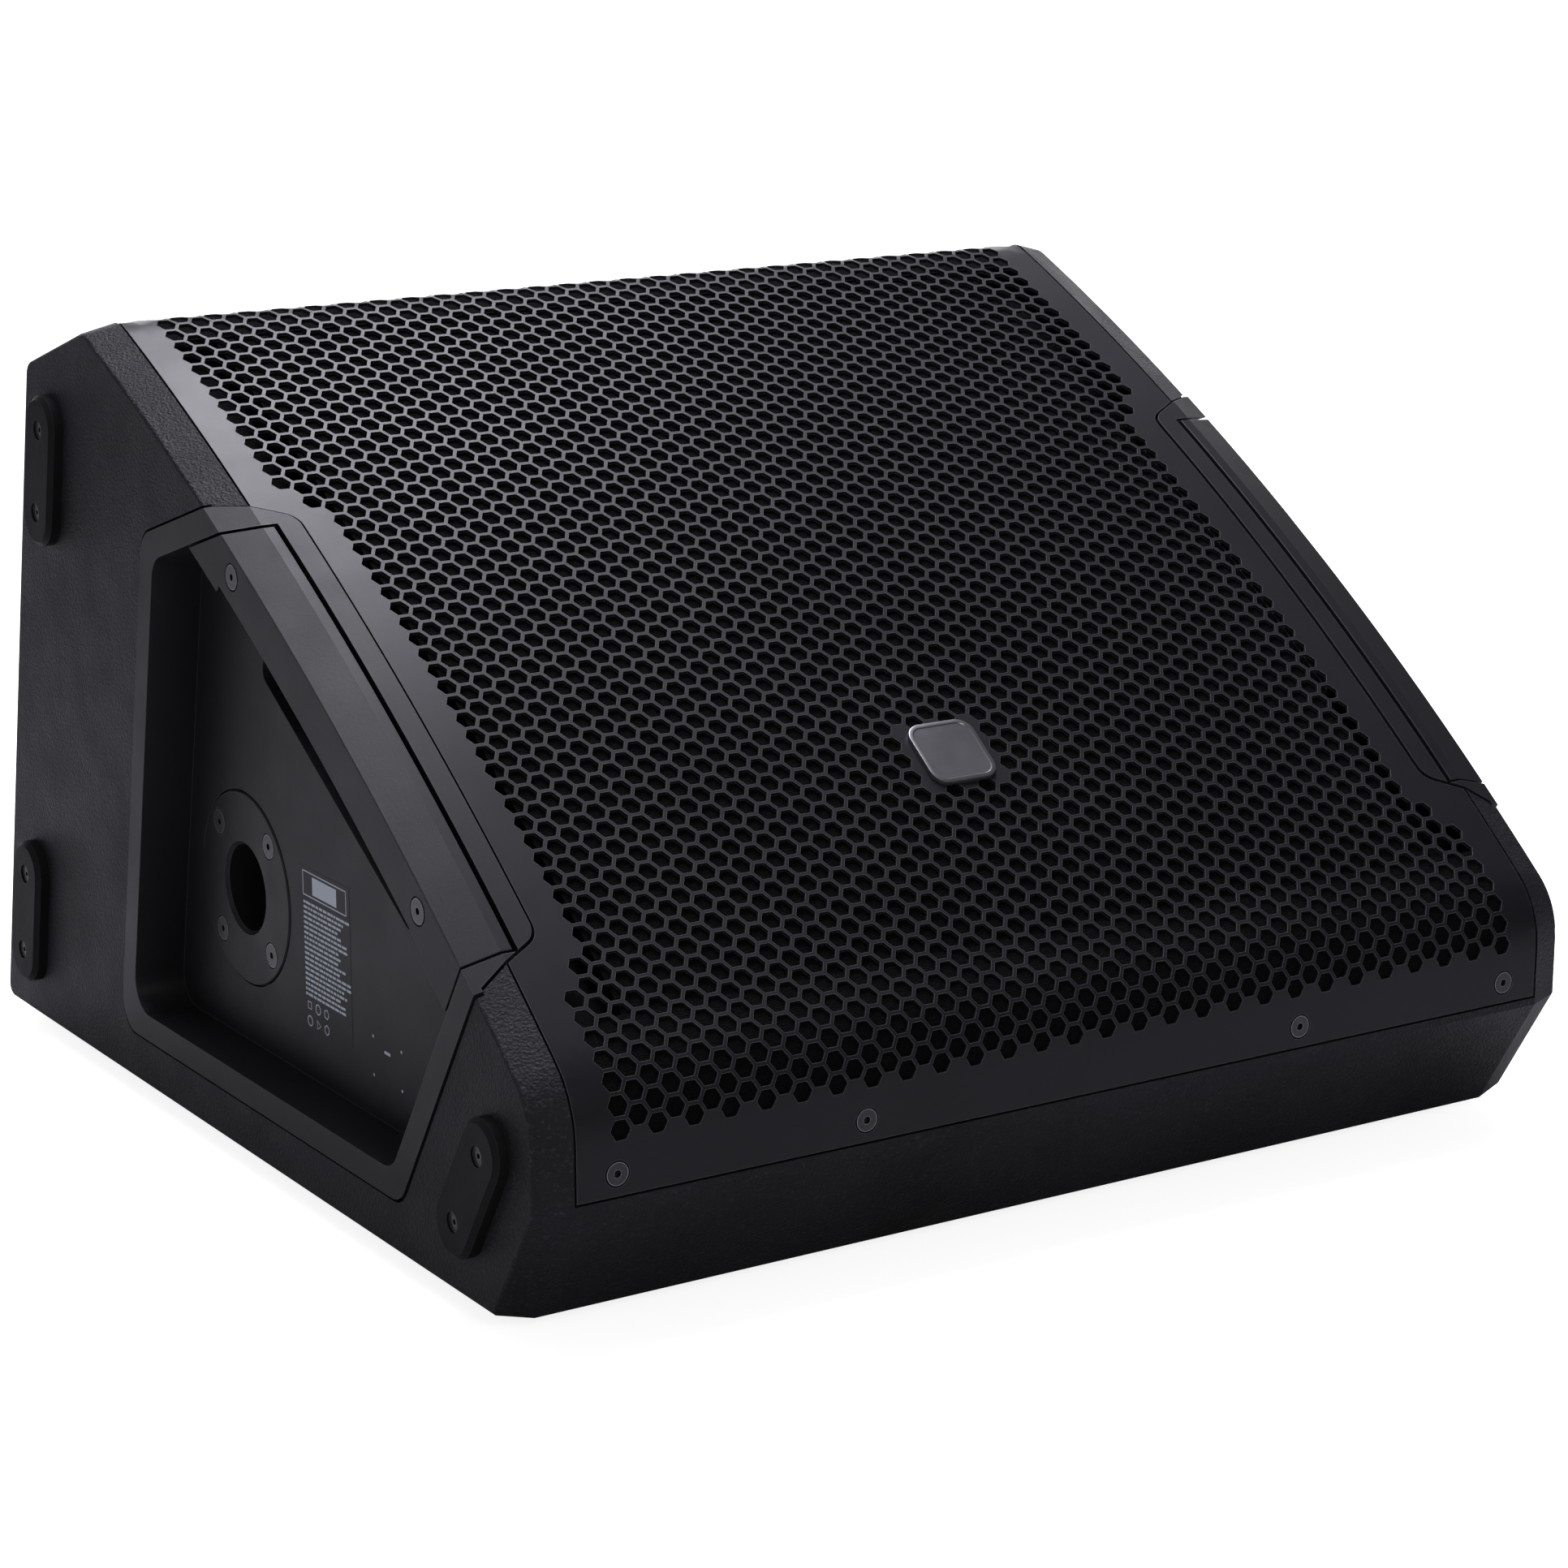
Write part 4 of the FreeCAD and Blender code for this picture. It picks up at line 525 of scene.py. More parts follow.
@dataclass
class Workshop:
    """Makes materials once and turns a bmesh into a finished piece."""

    effects: Effects = field(default_factory=Effects)
    made: dict[Finish, bpy.types.Material] = field(default_factory=dict)

    def material(self, finish: Finish) -> bpy.types.Material:
        """Material of a finish, built at its first use."""
        if finish not in self.made:
            self.made[finish] = finish.material(self.effects)
        return self.made[finish]

    def piece(self, name: str, bm: bmesh.types.BMesh, finish: Finish,
              body: str = CABINET, stands_for: Sequence[str] = (), smooth: float = 30.0) -> None:
        """Turn a bmesh into an object that rides on a body.

        Args:
            name: the piece's name.
            bm: its shape, in place; it is freed.
            finish: its material.
            body: the CAD body that carries it.
            stands_for: CAD nodes that it replaces.
            smooth: edges sharper than this angle, in degrees, stay sharp.
        """
        mesh = bpy.data.meshes.new(name)
        bm.normal_update()
        bm.to_mesh(mesh)
        bm.free()
        mesh.shade_smooth()
        mesh.set_sharp_from_angle(angle=math.radians(smooth))
        mesh.materials.append(self.material(finish))
        made = bpy.data.objects.new(name, mesh)
        bpy.context.scene.collection.objects.link(made)
        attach(made, body)
        if stands_for:
            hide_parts(*stands_for)
        LOG.info("%s: %d faces", name, len(mesh.polygons))

    def dress_nodes(self) -> None:
        """Give every carried-over CAD node its finish."""
        for finish, nodes in NODE_FINISHES.items():
            for name in nodes:
                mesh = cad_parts[name].data
                mesh.materials.clear()
                mesh.materials.append(self.material(finish))


# Bmesh helpers
def block(bm: bmesh.types.BMesh, low: Sequence[float],
          high: Sequence[float]) -> list[bmesh.types.BMVert]:
    """Add a box between two corners and return its vertices."""
    size = [b - a for a, b in zip(low, high)]
    middle = [(a + b) / 2 for a, b in zip(low, high)]
    matrix = Matrix.Translation(middle) @ Matrix.Diagonal((*size, 1.0))
    return bmesh.ops.create_cube(bm, size=1.0, matrix=matrix)["verts"]


def rod(bm: bmesh.types.BMesh, start: Sequence[float], direction: Sequence[float], radius: float,
        length: float, end_radius: float, segments: int = 32) -> None:
    """Add a closed round bar.

    Args:
        bm: the bmesh.
        start: centre of its first end.
        direction: where it points.
        radius: radius at the start.
        length: its length.
        end_radius: radius at the other end.
        segments: sides of the circle.
    """
    turn = Vector(direction).to_track_quat("Z", "Y").to_matrix().to_4x4()
    matrix = Matrix.Translation(start) @ turn @ Matrix.Translation((0, 0, length / 2))
    bmesh.ops.create_cone(bm, cap_ends=True, segments=segments, radius1=radius,
                          radius2=end_radius, depth=length, matrix=matrix)


def bevelled(bm: bmesh.types.BMesh, edges: Iterable[bmesh.types.BMEdge], width: float,
             segments: int = 2) -> None:
    """Round off some edges."""
    bmesh.ops.bevel(bm, geom=list(edges), offset=width, offset_type="OFFSET", segments=segments,
                    profile=0.5, affect="EDGES", clamp_overlap=True, material=-1)


def top_rims(bm: bmesh.types.BMesh, height: float) -> list[bmesh.types.BMEdge]:
    """Sharp edges that lie in the flat top at a height."""
    return [e for e in bm.edges if all(v.co.z > height - 0.01 * MM for v in e.verts)
            and e.calc_face_angle(0.0) > math.radians(RIM_ANGLE)]


def cut_convex(bm: bmesh.types.BMesh, corners: Sequence[Spot], margin: float) -> None:
    """Cut a convex window through a flat sheet.

    Args:
        bm: the sheet, lying in the XY plane.
        corners: corners of the window, counter-clockwise.
        margin: faces within this distance of the window's box are split.
    """
    xs, ys = zip(*corners)

    def near() -> list[bmesh.types.BMFace]:
        """Faces close to the window."""
        centres = ((face, face.calc_center_median()) for face in bm.faces)
        return [face for face, at in centres if min(xs) - margin < at.x < max(xs) + margin
                and min(ys) - margin < at.y < max(ys) + margin]

    pairs = list(zip(corners, list(corners[1:]) + list(corners[:1])))
    for (x0, y0), (x1, y1) in pairs:
        faces = near()
        geom = set(faces)
        for face in faces:
            geom.update(face.edges, face.verts)
        bmesh.ops.bisect_plane(bm, geom=list(geom), dist=ON_PLANE, plane_co=(x0, y0, 0),
                               plane_no=(y1 - y0, x0 - x1, 0))
    inside = []
    for face in near():
        middle = face.calc_center_median()
        if all((x1 - x0) * (middle.y - y0) - (y1 - y0) * (middle.x - x0) > 0
               for (x0, y0), (x1, y1) in pairs):
            inside.append(face)
    bmesh.ops.delete(bm, geom=inside, context="FACES")


def softened(node: str, width: float, angle: float = 32.0) -> bmesh.types.BMesh:
    """Merged copy of a CAD node with its sharp outer edges rounded.

    Args:
        node: the CAD node.
        width: width of the rounding.
        angle: edges sharper than this, in degrees, are rounded.

    Returns:
        The new shape.
    """
    bm = bmesh.new()
    bm.from_mesh(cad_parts[node].data)
    bmesh.ops.remove_doubles(bm, verts=bm.verts, dist=SEAM_GAP)
    bmesh.ops.dissolve_limit(bm, angle_limit=math.radians(FLAT_ANGLE), verts=bm.verts,
                             edges=bm.edges, use_dissolve_boundaries=False, delimit=set())
    limit = math.radians(angle)
    sharp = [e for e in bm.edges if len(e.link_faces) == 2 and e.is_convex
             and e.calc_face_angle(0.0) > limit]
    bevelled(bm, sharp, width)
    return bm


# The curved face
@dataclass(frozen=True)
class SlopeCurve:
    """Outer skin of the grille side, followed by the distance down it from its middle."""

    face_centre: Spot = (686.72 * MM, -993.98 * MM)
    face_radius: float = 1438.0 * MM
    outward: Spot = (-0.52119, 0.85344)
    bend_centre: Spot = (-212.75 * MM, 80.8 * MM)
    bend_radius: float = 36.5 * MM
    crest: Spot = (127.2 * MM, 330.7 * MM)
    crest_radius: float = 12.0 * MM
    facet_fall: float = 19.0
    search: float = 0.1

    def turned(self, angle: float) -> Vector:
        """Normal of the long curve at an angle downhill from its middle."""
        out = Vector(self.outward)
        down = Vector((-self.outward[1], self.outward[0]))
        return out * math.cos(angle) + down * math.sin(angle)

    def angle_of(self, normal: Vector) -> float:
        """Angle downhill from the middle at which the long curve has a normal."""
        down = Vector((-self.outward[1], self.outward[0]))
        return math.atan2(normal.dot(down), normal.dot(Vector(self.outward)))

    def crest_arc(self) -> tuple[Vector, float, float]:
        """Centre of the crest's rounding, and its normal angles at the slope and at the facet."""
        fall = math.radians(self.facet_fall)
        facet = Vector((math.sin(fall), math.cos(fall)))
        along = Vector((math.cos(fall), -math.sin(fall)))
        inner = Vector(self.crest) - facet * self.crest_radius
        reach = along * self.search
        hits = intersect_line_sphere_2d(inner - reach, inner + reach, Vector(self.face_centre),
                                        self.face_radius - self.crest_radius, False)
        centre = min((hit for hit in hits if hit is not None), key=lambda hit: (hit - inner).length)
        start = self.angle_of((centre - Vector(self.face_centre)).normalized())
        return centre, start, self.angle_of(facet)

    def place(self, x: float, down: float, out: float) -> Vector:
        """Point on, above or below the skin.

        Args:
            x: across the cabinet.
            down: distance down the skin from the middle of the slope, negative uphill.
            out: height above the skin.

        Returns:
            The point.
        """
        crest_mid, crest_start, crest_end = self.crest_arc()
        bend = Vector(self.bend_centre) - Vector(self.face_centre)
        bend_start = self.angle_of(bend.normalized())
        bend_end = self.angle_of(Vector((-1.0, 0.0)))
        low = self.face_radius * bend_start
        lip = low + self.bend_radius * (bend_end - bend_start)
        high = self.face_radius * crest_start
        tail = high - self.crest_radius * (crest_start - crest_end)
        if down > lip:
            spot = Vector(self.bend_centre) + Vector((-self.bend_radius - out, lip - down))
        elif down > low:
            normal = self.turned(bend_start + (down - low) / self.bend_radius)
            spot = Vector(self.bend_centre) + normal * (self.bend_radius + out)
        elif down >= high:
            normal = self.turned(down / self.face_radius)
            spot = Vector(self.face_centre) + normal * (self.face_radius + out)
        elif down >= tail:
            normal = self.turned(crest_start + (down - high) / self.crest_radius)
            spot = crest_mid + normal * (self.crest_radius + out)
        else:
            normal = self.turned(crest_end)
            along = Vector((normal.y, -normal.x))
            spot = crest_mid + normal * (self.crest_radius + out) + along * (tail - down)
        return Vector((x, spot.x, spot.y))


@dataclass
class PerforatedGrille:
    """Bent steel sheet with its honeycomb of hexagonal holes, its badge and the holes for its lip
    screws.
    """

    curve: SlopeCurve
    pitch: float = 9.0 * MM
    web: float = 1.5 * MM
    thickness: float = 1.5 * MM
    chamfer: float = 0.28 * MM
    half_width: float = 229.0 * MM
    lattice_down: float = 13.0 * MM
    reach: int = 51
    columns: int = 27
    pad_inner: float = 212.3 * MM
    pad_outer: float = 245.0 * MM
    pad_top: float = -87.3 * MM
    pad_base: float = 177.2 * MM
    pad_slant: float = 0.55
    pad_radius: float = 9.5 * MM
    top_end: float = -229.0 * MM
    lip_end: float = 267.4 * MM
    badge_down: float = 107.5 * MM
    badge_size: float = 31.0 * MM
    badge_radius: float = 7.0 * MM
    badge_height: float = 2.0 * MM
    screw_x: tuple[float, ...] = (-212.0 * MM, -104.0 * MM, 104.0 * MM, 212.0 * MM)
    screw_z: float = 67.5 * MM
    screw_radius: float = 5.2 * MM
    screw_sides: int = 16
    screw_margin: float = 6 * MM
    lip_base: float = 59.0 * MM
    notch_margin: float = 5 * MM
    notch_beyond: float = 10 * MM
    corner_steps: int = 5
    spare_columns: int = 3
    spare_rows: int = 9
    covered_rows: tuple[tuple[int, int], ...] = ((-23, 39), (-20, 36))
    badge_rim: float = 1.8 * MM
    badge_step: float = 0.4 * MM
    badge_sink: float = 0.35 * MM
    badge_round: float = 0.4 * MM
    cloth_under: Spot = (-1.45 * MM, -1.2 * MM)
    cloth_half: float = 218 * MM
    cloth_cuts: int = 24
    lip_cloth: Spot = (198 * MM, 250 * MM)
    crest_cloth: Spot = (-226 * MM, -196 * MM)

    def is_hole(self, column: int, row: int) -> bool:
        """Say whether a cell is punched.

        Args:
            column: column from the middle.
            row: half pitches down from the lattice's middle row.

        Returns:
            True where the sheet has a hole.
        """
        side = abs(column)
        if abs(row) > self.reach or side > self.columns:
            return False
        for inset, (first, last) in enumerate(self.covered_rows):
            if side == self.columns - inset and first < row < last:
                return False
        down = row * self.pitch / 2 + self.lattice_down - self.badge_down
        across = column * self.pitch * math.sqrt(3) / 2
        room = self.badge_size / 2 + self.web
        return not (abs(down) < room and abs(across) < room)

    def lattice(self) -> bmesh.types.BMesh:
        """Flat sheet of hexagons with the holes punched.

        Returns:
            The sheet in the XY plane, +Y uphill, before its outline is cut.
        """
        bm = bmesh.new()
        radius = self.pitch / math.sqrt(3)
        step = 1.5 * radius
        spare, rows = self.columns + self.spare_columns, self.reach + self.spare_rows
        turn = Matrix.Rotation(math.pi / 2, 4, "Z")
        for column in (0, 1):
            place = Matrix.Translation((column * step, column * self.pitch / 2, 0)) @ turn
            bmesh.ops.create_circle(bm, cap_ends=True, segments=6, radius=radius, matrix=place)
        for vector, steps in (((0, self.pitch, 0), rows), ((2 * step, 0, 0), spare)):
            bmesh.ops.spin(bm, geom=bm.faces[:] + bm.edges[:] + bm.verts[:], cent=(0, 0, 0),
                           axis=(0, 0, 1), dvec=vector, angle=0.0, steps=steps,
                           use_duplicate=True, use_merge=False)
        shift = Vector((-spare * step, -rows * self.pitch / 2 - self.lattice_down, 0))
        bmesh.ops.translate(bm, verts=bm.verts, vec=shift)
        bmesh.ops.remove_doubles(bm, verts=bm.verts, dist=0.05 * MM)
        holes = []
        for face in bm.faces:
            middle = face.calc_center_median()
            row = round((-middle.y - self.lattice_down) / (self.pitch / 2))
            if self.is_hole(round(middle.x / step), row):
                holes.append(face)
        bmesh.ops.inset_individual(bm, faces=holes, thickness=self.web / 2, use_even_offset=True)
        bmesh.ops.delete(bm, geom=holes, context="FACES")
        return bm

    def notch(self, side: int) -> list[Spot]:
        """Corners of a handle's window in the sheet, counter-clockwise, its inner ones round."""
        run = self.pad_outer - self.pad_inner
        top = self.pad_top + self.pad_slant * run
        base = self.pad_base - self.pad_slant * run
        lean = math.atan(self.pad_slant)
        spots: list[Spot] = []
        far = self.half_width + self.notch_beyond
        for corner, sign in ((-top, 1.0), (-base, -1.0)):
            reach = self.pad_radius * math.tan((math.pi / 2 - lean) / 2)
            middle = (self.pad_inner + self.pad_radius, corner - sign * reach)
            for share in range(self.corner_steps + 1):
                angle = math.pi - sign * (math.pi / 2 - lean) * share / self.corner_steps
                spots.append((middle[0] + self.pad_radius * math.cos(angle),
                              middle[1] + self.pad_radius * math.sin(angle)))
            if sign > 0:
                spots.reverse()
                spots.insert(0, (far, corner + self.pad_slant * (far - self.pad_inner)))
        spots.append((far, -base - self.pad_slant * (far - self.pad_inner)))
        spots = [(side * x, y) for x, y in spots]
        return spots if side > 0 else spots[::-1]

    def bent(self, bm: bmesh.types.BMesh, start: float = 0.0) -> bmesh.types.BMesh:
        """Lay a flat shape over the slope, its origin at a distance down the skin."""
        for vert in bm.verts:
            vert.co = self.curve.place(vert.co.x, start - vert.co.y, vert.co.z)
        return bm

    def sheet(self) -> bmesh.types.BMesh:
        """The whole perforated sheet, bent over the slope."""
        bm = self.lattice()
        limits = (((self.half_width, 0, 0), (1, 0, 0)), ((-self.half_width, 0, 0), (-1, 0, 0)),
                  ((0, -self.top_end, 0), (0, 1, 0)), ((0, -self.lip_end, 0), (0, -1, 0)))
        for place, normal in limits:
            bmesh.ops.bisect_plane(bm, geom=bm.faces[:] + bm.edges[:] + bm.verts[:], dist=ON_PLANE,
                                   plane_co=place, plane_no=normal, clear_outer=True)
        for side in (-1, 1):
            cut_convex(bm, self.notch(side), self.notch_margin)
        lip_down = self.lip_end - (self.screw_z - self.lip_base)
        angles = [k * math.pi / (self.screw_sides / 2) for k in range(self.screw_sides)]
        for x in self.screw_x:
            ring = [(x + self.screw_radius * math.cos(angle),
                     -lip_down + self.screw_radius * math.sin(angle)) for angle in angles]
            cut_convex(bm, ring, self.screw_margin)
        bmesh.ops.recalc_face_normals(bm, faces=bm.faces)
        if sum(face.normal.z for face in bm.faces) < 0:
            bmesh.ops.reverse_faces(bm, faces=bm.faces)
        bmesh.ops.solidify(bm, geom=bm.faces[:], thickness=self.thickness)
        top = max(vert.co.z for vert in bm.verts)
        bmesh.ops.translate(bm, verts=bm.verts, vec=(0, 0, -top))
        bmesh.ops.recalc_face_normals(bm, faces=bm.faces)
        bevelled(bm, top_rims(bm, 0.0), self.chamfer, 1)
        return self.bent(bm)

    def badge(self) -> bmesh.types.BMesh:
        """Blank rounded badge with a raised rim, lying on the sheet."""
        bm = bmesh.new()
        half = self.badge_size / 2
        block(bm, (-half, -half, 0), (half, half, self.badge_height))
        upright = [e for e in bm.edges if abs(e.verts[0].co.z - e.verts[1].co.z) > MM]
        bevelled(bm, upright, self.badge_radius, 8)
        top = [f for f in bm.faces if f.normal.z > 0.9]
        bmesh.ops.inset_region(bm, faces=top, thickness=self.badge_rim, depth=0.0)
        bmesh.ops.inset_region(bm, faces=top, thickness=self.badge_step, depth=-self.badge_sink)
        bm.normal_update()
        bevelled(bm, top_rims(bm, self.badge_height), self.badge_round, 2)
        return self.bent(bm, self.badge_down)

    def backing(self, start: float, end: float) -> bmesh.types.BMesh:
        """Thin black cloth behind the outermost rows, where a board lies close below the sheet.

        Args:
            start: where it starts, down the skin.
            end: where it ends.

        Returns:
            The cloth, bent under the sheet.
        """
        bm = bmesh.new()
        low, high = self.cloth_under
        block(bm, (-self.cloth_half, -end, low), (self.cloth_half, -start, high))
        long = [e for e in bm.edges if abs(e.verts[0].co.y - e.verts[1].co.y) > MM]
        bmesh.ops.subdivide_edges(bm, edges=long, cuts=self.cloth_cuts, use_grid_fill=True)
        return self.bent(bm)

    def build(self, workshop: Workshop) -> None:
        """Make the sheet, the badge and the backing cloths."""
        workshop.piece("lip_backing", self.backing(*self.lip_cloth), FOAM_BLACK)
        workshop.piece("crest_backing", self.backing(*self.crest_cloth), FOAM_BLACK)
        workshop.piece("grille_sheet", self.sheet(), GRILLE_COAT,
                       stands_for=["grille"])
        workshop.piece("badge_plate", self.badge(), BADGE_METAL,
                       stands_for=["grille_badge"])


@dataclass
class HandleTrims:
    """Moulded cups and grip bars with softened edges."""

    edge: float = 0.3 * MM
    crease: float = 9.0

    def build(self, workshop: Workshop) -> None:
        """Make a softened copy of each moulding."""
        for side in ("left", "right"):
            for part in ("handle_cup", "grip_bar"):
                node = f"{side}_{part}"
                workshop.piece(f"{node}_moulding", softened(node, self.edge), TRIM_PLASTIC,
                               stands_for=[node], smooth=self.crease)


@dataclass
class RatingPrint:
    """Film with rows of illegible print in the left recess, and small marks beside it.

    The print's steps and word sizes are in millimetres, the other sizes in metres.
    """

    lines: int = 19
    seed: int = 41
    ink: float = 0.03 * MM
    film: float = 0.08 * MM
    margin: float = 3 * MM
    top_margin: float = 2 * MM
    header: float = 10 * MM
    rule: float = 0.5 * MM
    title_share: float = 0.56
    title_height: float = 7.5 * MM
    first_row: float = 13.0
    row_step: float = 2.15
    ragged: float = 0.35
    paragraph: int = 5
    long_row: float = 0.2
    word: Spot = (1.2, 4.2)
    word_gap: Spot = (0.4, 0.8)
    word_height: float = 1.05 * MM
    shapes: tuple[tuple[int, ...], ...] = ((4, 24, 5), (24, 3, 6))
    shape_radius: float = 2.3 * MM
    shape_line: float = 0.5 * MM
    shape_gap: float = 2.4
    shape_inset: float = 3.0
    shape_step: Spot = (7.5, 6.6)
    recess_floor: float = -223.0 * MM
    mark_y: Spot = (-78.0 * MM, -102.0 * MM)
    mark_z: Spot = (58.0 * MM, 74.0 * MM)
    mark_size: float = 1.1 * MM
    long_mark: tuple[float, ...] = (-90.0 * MM, 70.0 * MM, 5.0 * MM, 1.2 * MM)

    def dash(self, bm: bmesh.types.BMesh, face: float, y: float, z: float, width: float,
             height: float) -> None:
        """Add one small printed block.

        Args:
            bm: the bmesh.
            face: x of the surface that carries it.
            y: its centre.
            z: its centre.
            width: along y.
            height: along z.
        """
        block(bm, (face - self.ink, y - width / 2, z - height / 2),
              (face, y + width / 2, z + height / 2))

    def mark(self, bm: bmesh.types.BMesh, face: float, y: float, z: float, sides: int) -> None:
        """Add a plain outlined shape.

        Args:
            bm: the bmesh.
            face: x of the surface that carries it.
            y: its centre.
            z: its centre.
            sides: how many sides it has.
        """
        turn = Matrix.Rotation(math.radians(-90), 4, "Y") @ Matrix.Rotation(math.pi / sides, 4, "Z")
        made = bmesh.ops.create_circle(bm, cap_ends=True, segments=sides, radius=self.shape_radius,
                                       matrix=Matrix.Translation((face, y, z)) @ turn)
        middle = made["verts"][0].link_faces[:]
        rim = bmesh.ops.inset_individual(bm, faces=middle, thickness=self.shape_line)["faces"]
        bmesh.ops.delete(bm, geom=middle, context="FACES")
        raised = bmesh.ops.extrude_face_region(bm, geom=rim)["geom"]
        verts = [v for v in raised if isinstance(v, bmesh.types.BMVert)]
        bmesh.ops.translate(bm, verts=verts, vec=(-self.ink, 0, 0))

    def build(self, workshop: Workshop) -> None:
        """Lay the film and print it."""
        low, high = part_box("rating_plate")
        rng = random.Random(self.seed)
        bm = bmesh.new()
        face = high.x - self.film
        sheet = bmesh.new()
        block(sheet, (face, low.y, low.z), (high.x, high.y, high.z))
        workshop.piece("rating_film", sheet, PLATE_FILM, stands_for=["rating_plate"])
        left, right = low.y + self.margin, high.y - self.margin
        top = high.z - self.top_margin
        middle, width = (left + right) / 2, right - left
        for z in (top, top - self.header):
            self.dash(bm, face, middle, z, width, self.rule)
        for y in (left, right):
            self.dash(bm, face, y, top - self.header / 2, self.rule, self.header)
        self.dash(bm, face, middle, top - self.header / 2, width * self.title_share,
                  self.title_height)
        for row in range(self.lines):
            z = top - (self.first_row + self.row_step * row) * MM
            share = 1 if row % self.paragraph else self.long_row
            end = right - rng.uniform(0.0, self.ragged) * width * share
            y = right
            while y > right - (end - left):
                length = rng.uniform(*self.word) * MM
                self.dash(bm, face, y - length / 2, z, length, self.word_height)
                y -= length + rng.uniform(*self.word_gap) * MM
        below = top - (self.first_row + self.row_step * self.lines + self.shape_gap) * MM
        across, down = self.shape_step
        for row, shapes in enumerate(self.shapes):
            for number, sides in enumerate(shapes):
                self.mark(bm, face, right - (self.shape_inset + across * number) * MM,
                          below - down * row * MM, sides)
        workshop.piece("rating_print", bm, PRINT_INK)
        marks = bmesh.new()
        for y in self.mark_y:
            for z in self.mark_z:
                self.dash(marks, self.recess_floor, y, z, self.mark_size, self.mark_size)
        self.dash(marks, self.recess_floor, *self.long_mark)
        workshop.piece("recess_marks", marks, PRINT_INK)


@dataclass
class ConnectorPanel:
    """Print and contacts of the amplifier panel in the right recess."""

    ticks: int = 11
    sweep: float = 300.0
    ink: float = 0.05 * MM
    line: float = 0.35 * MM
    dial_radius: float = 9.3 * MM
    tick_half: float = 0.2 * MM
    tick_lengths: Spot = (2.2 * MM, 1.3 * MM)
    below: float = 4 * MM
    frames: tuple[tuple[str, str, str, float, float], ...] = (
        ("input_sockets", "link_socket", "input_sockets", 3 * MM, 4 * MM),
        ("mains_inlet", "mains_inlet", "power_switch_frame", 3 * MM, 4 * MM),
        ("status_lights", "status_lights", "status_lights", 5 * MM, 3.6 * MM))
    flange: float = 2.5 * MM
    socket_depth: float = 23 * MM
    core_inset: float = 13 * MM
    core_radii: Spot = (9.4 * MM, 9.1 * MM)
    core_length: float = 14 * MM
    pin_turns: tuple[int, ...] = (90, 210, 330)
    pin_circle: float = 4.6 * MM
    pin_rise: float = 13.5 * MM
    pin_radii: Spot = (1.7 * MM, 1.4 * MM)
    pin_length: float = 0.8 * MM
    pin_sides: int = 20
    pointer_depths: Spot = (0.95 * MM, 0.1 * MM)
    pointer_half: float = 0.45 * MM
    pointer_start: float = 1.6 * MM
    pointer_end: float = 1.2 * MM

    def dial(self, bm: bmesh.types.BMesh, knob: str, face: float) -> None:
        """Add the scale of a gain knob.

        Args:
            bm: the bmesh.
            knob: the knob's node.
            face: x of the panel's face.
        """
        low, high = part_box(knob)
        centre = (low + high) / 2
        for number in range(self.ticks):
            angle = math.radians(90 + self.sweep / 2 - self.sweep * number / (self.ticks - 1))
            long = number in (0, self.ticks // 2, self.ticks - 1)
            length = self.tick_lengths[0] if long else self.tick_lengths[1]
            verts = block(bm, (face, -self.tick_half, self.dial_radius),
                          (face + self.ink, self.tick_half, self.dial_radius + length))
            bmesh.ops.rotate(bm, verts=verts, cent=(0, 0, 0),
                             matrix=Matrix.Rotation(angle - math.pi / 2, 3, "X"))
            bmesh.ops.translate(bm, verts=verts, vec=(0, centre.y, centre.z))

    def frame_lines(self, bm: bmesh.types.BMesh, face: float, low: Spot, high: Spot) -> None:
        """Add a thin printed rectangle between two (y, z) corners."""
        for z in (low[1], high[1]):
            block(bm, (face, low[0], z), (face + self.ink, high[0], z + self.line))
        for y in (low[0], high[0]):
            block(bm, (face, y, low[1]), (face + self.ink, y + self.line, high[1] + self.line))

    def print_panel(self, face: float) -> bmesh.types.BMesh:
        """Dials of both knobs and a frame around each group of parts."""
        bm = bmesh.new()
        for knob in ("gain_knob_1", "gain_knob_2"):
            self.dial(bm, knob, face)
        for first, last, tallest, beside, above in self.frames:
            low, end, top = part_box(first)[0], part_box(last)[1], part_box(tallest)[1]
            self.frame_lines(bm, face, (low.y - beside, low.z - self.below),
                             (end.y + beside, top.z + above))
        return bm

    def build(self, workshop: Workshop) -> None:
        """Make the print, the socket cores with their contacts, and the pointers."""
        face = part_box("amp_panel")[1].x
        workshop.piece("panel_print", self.print_panel(face), PRINT_INK)
        cores, contacts = bmesh.new(), bmesh.new()
        low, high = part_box("input_sockets")
        z = (low.z + high.z) / 2
        seat = face + self.flange - self.socket_depth
        for middle in (low.y + self.core_inset, high.y - self.core_inset):
            rod(cores, (seat, middle, z), (1, 0, 0), self.core_radii[0], self.core_length,
                self.core_radii[1])
            for turn in self.pin_turns:
                y = middle + self.pin_circle * math.cos(math.radians(turn))
                up = z + self.pin_circle * math.sin(math.radians(turn))
                rod(contacts, (seat + self.pin_rise, y, up), (1, 0, 0), self.pin_radii[0],
                    self.pin_length, self.pin_radii[1], self.pin_sides)
        workshop.piece("socket_cores", cores, SOCKET_PLASTIC)
        workshop.piece("core_contacts", contacts, CONTACT)
        for number in (1, 2):
            low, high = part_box(f"gain_knob_{number}")
            centre = (low + high) / 2
            pointer = bmesh.new()
            block(pointer, (high.x - self.pointer_depths[0], centre.y - self.pointer_half,
                            centre.z + self.pointer_start),
                  (high.x - self.pointer_depths[1], centre.y + self.pointer_half,
                   high.z - self.pointer_end))
            workshop.piece(f"knob_pointer_{number}", pointer, PRINT_INK,
                           f"gain_{number}")


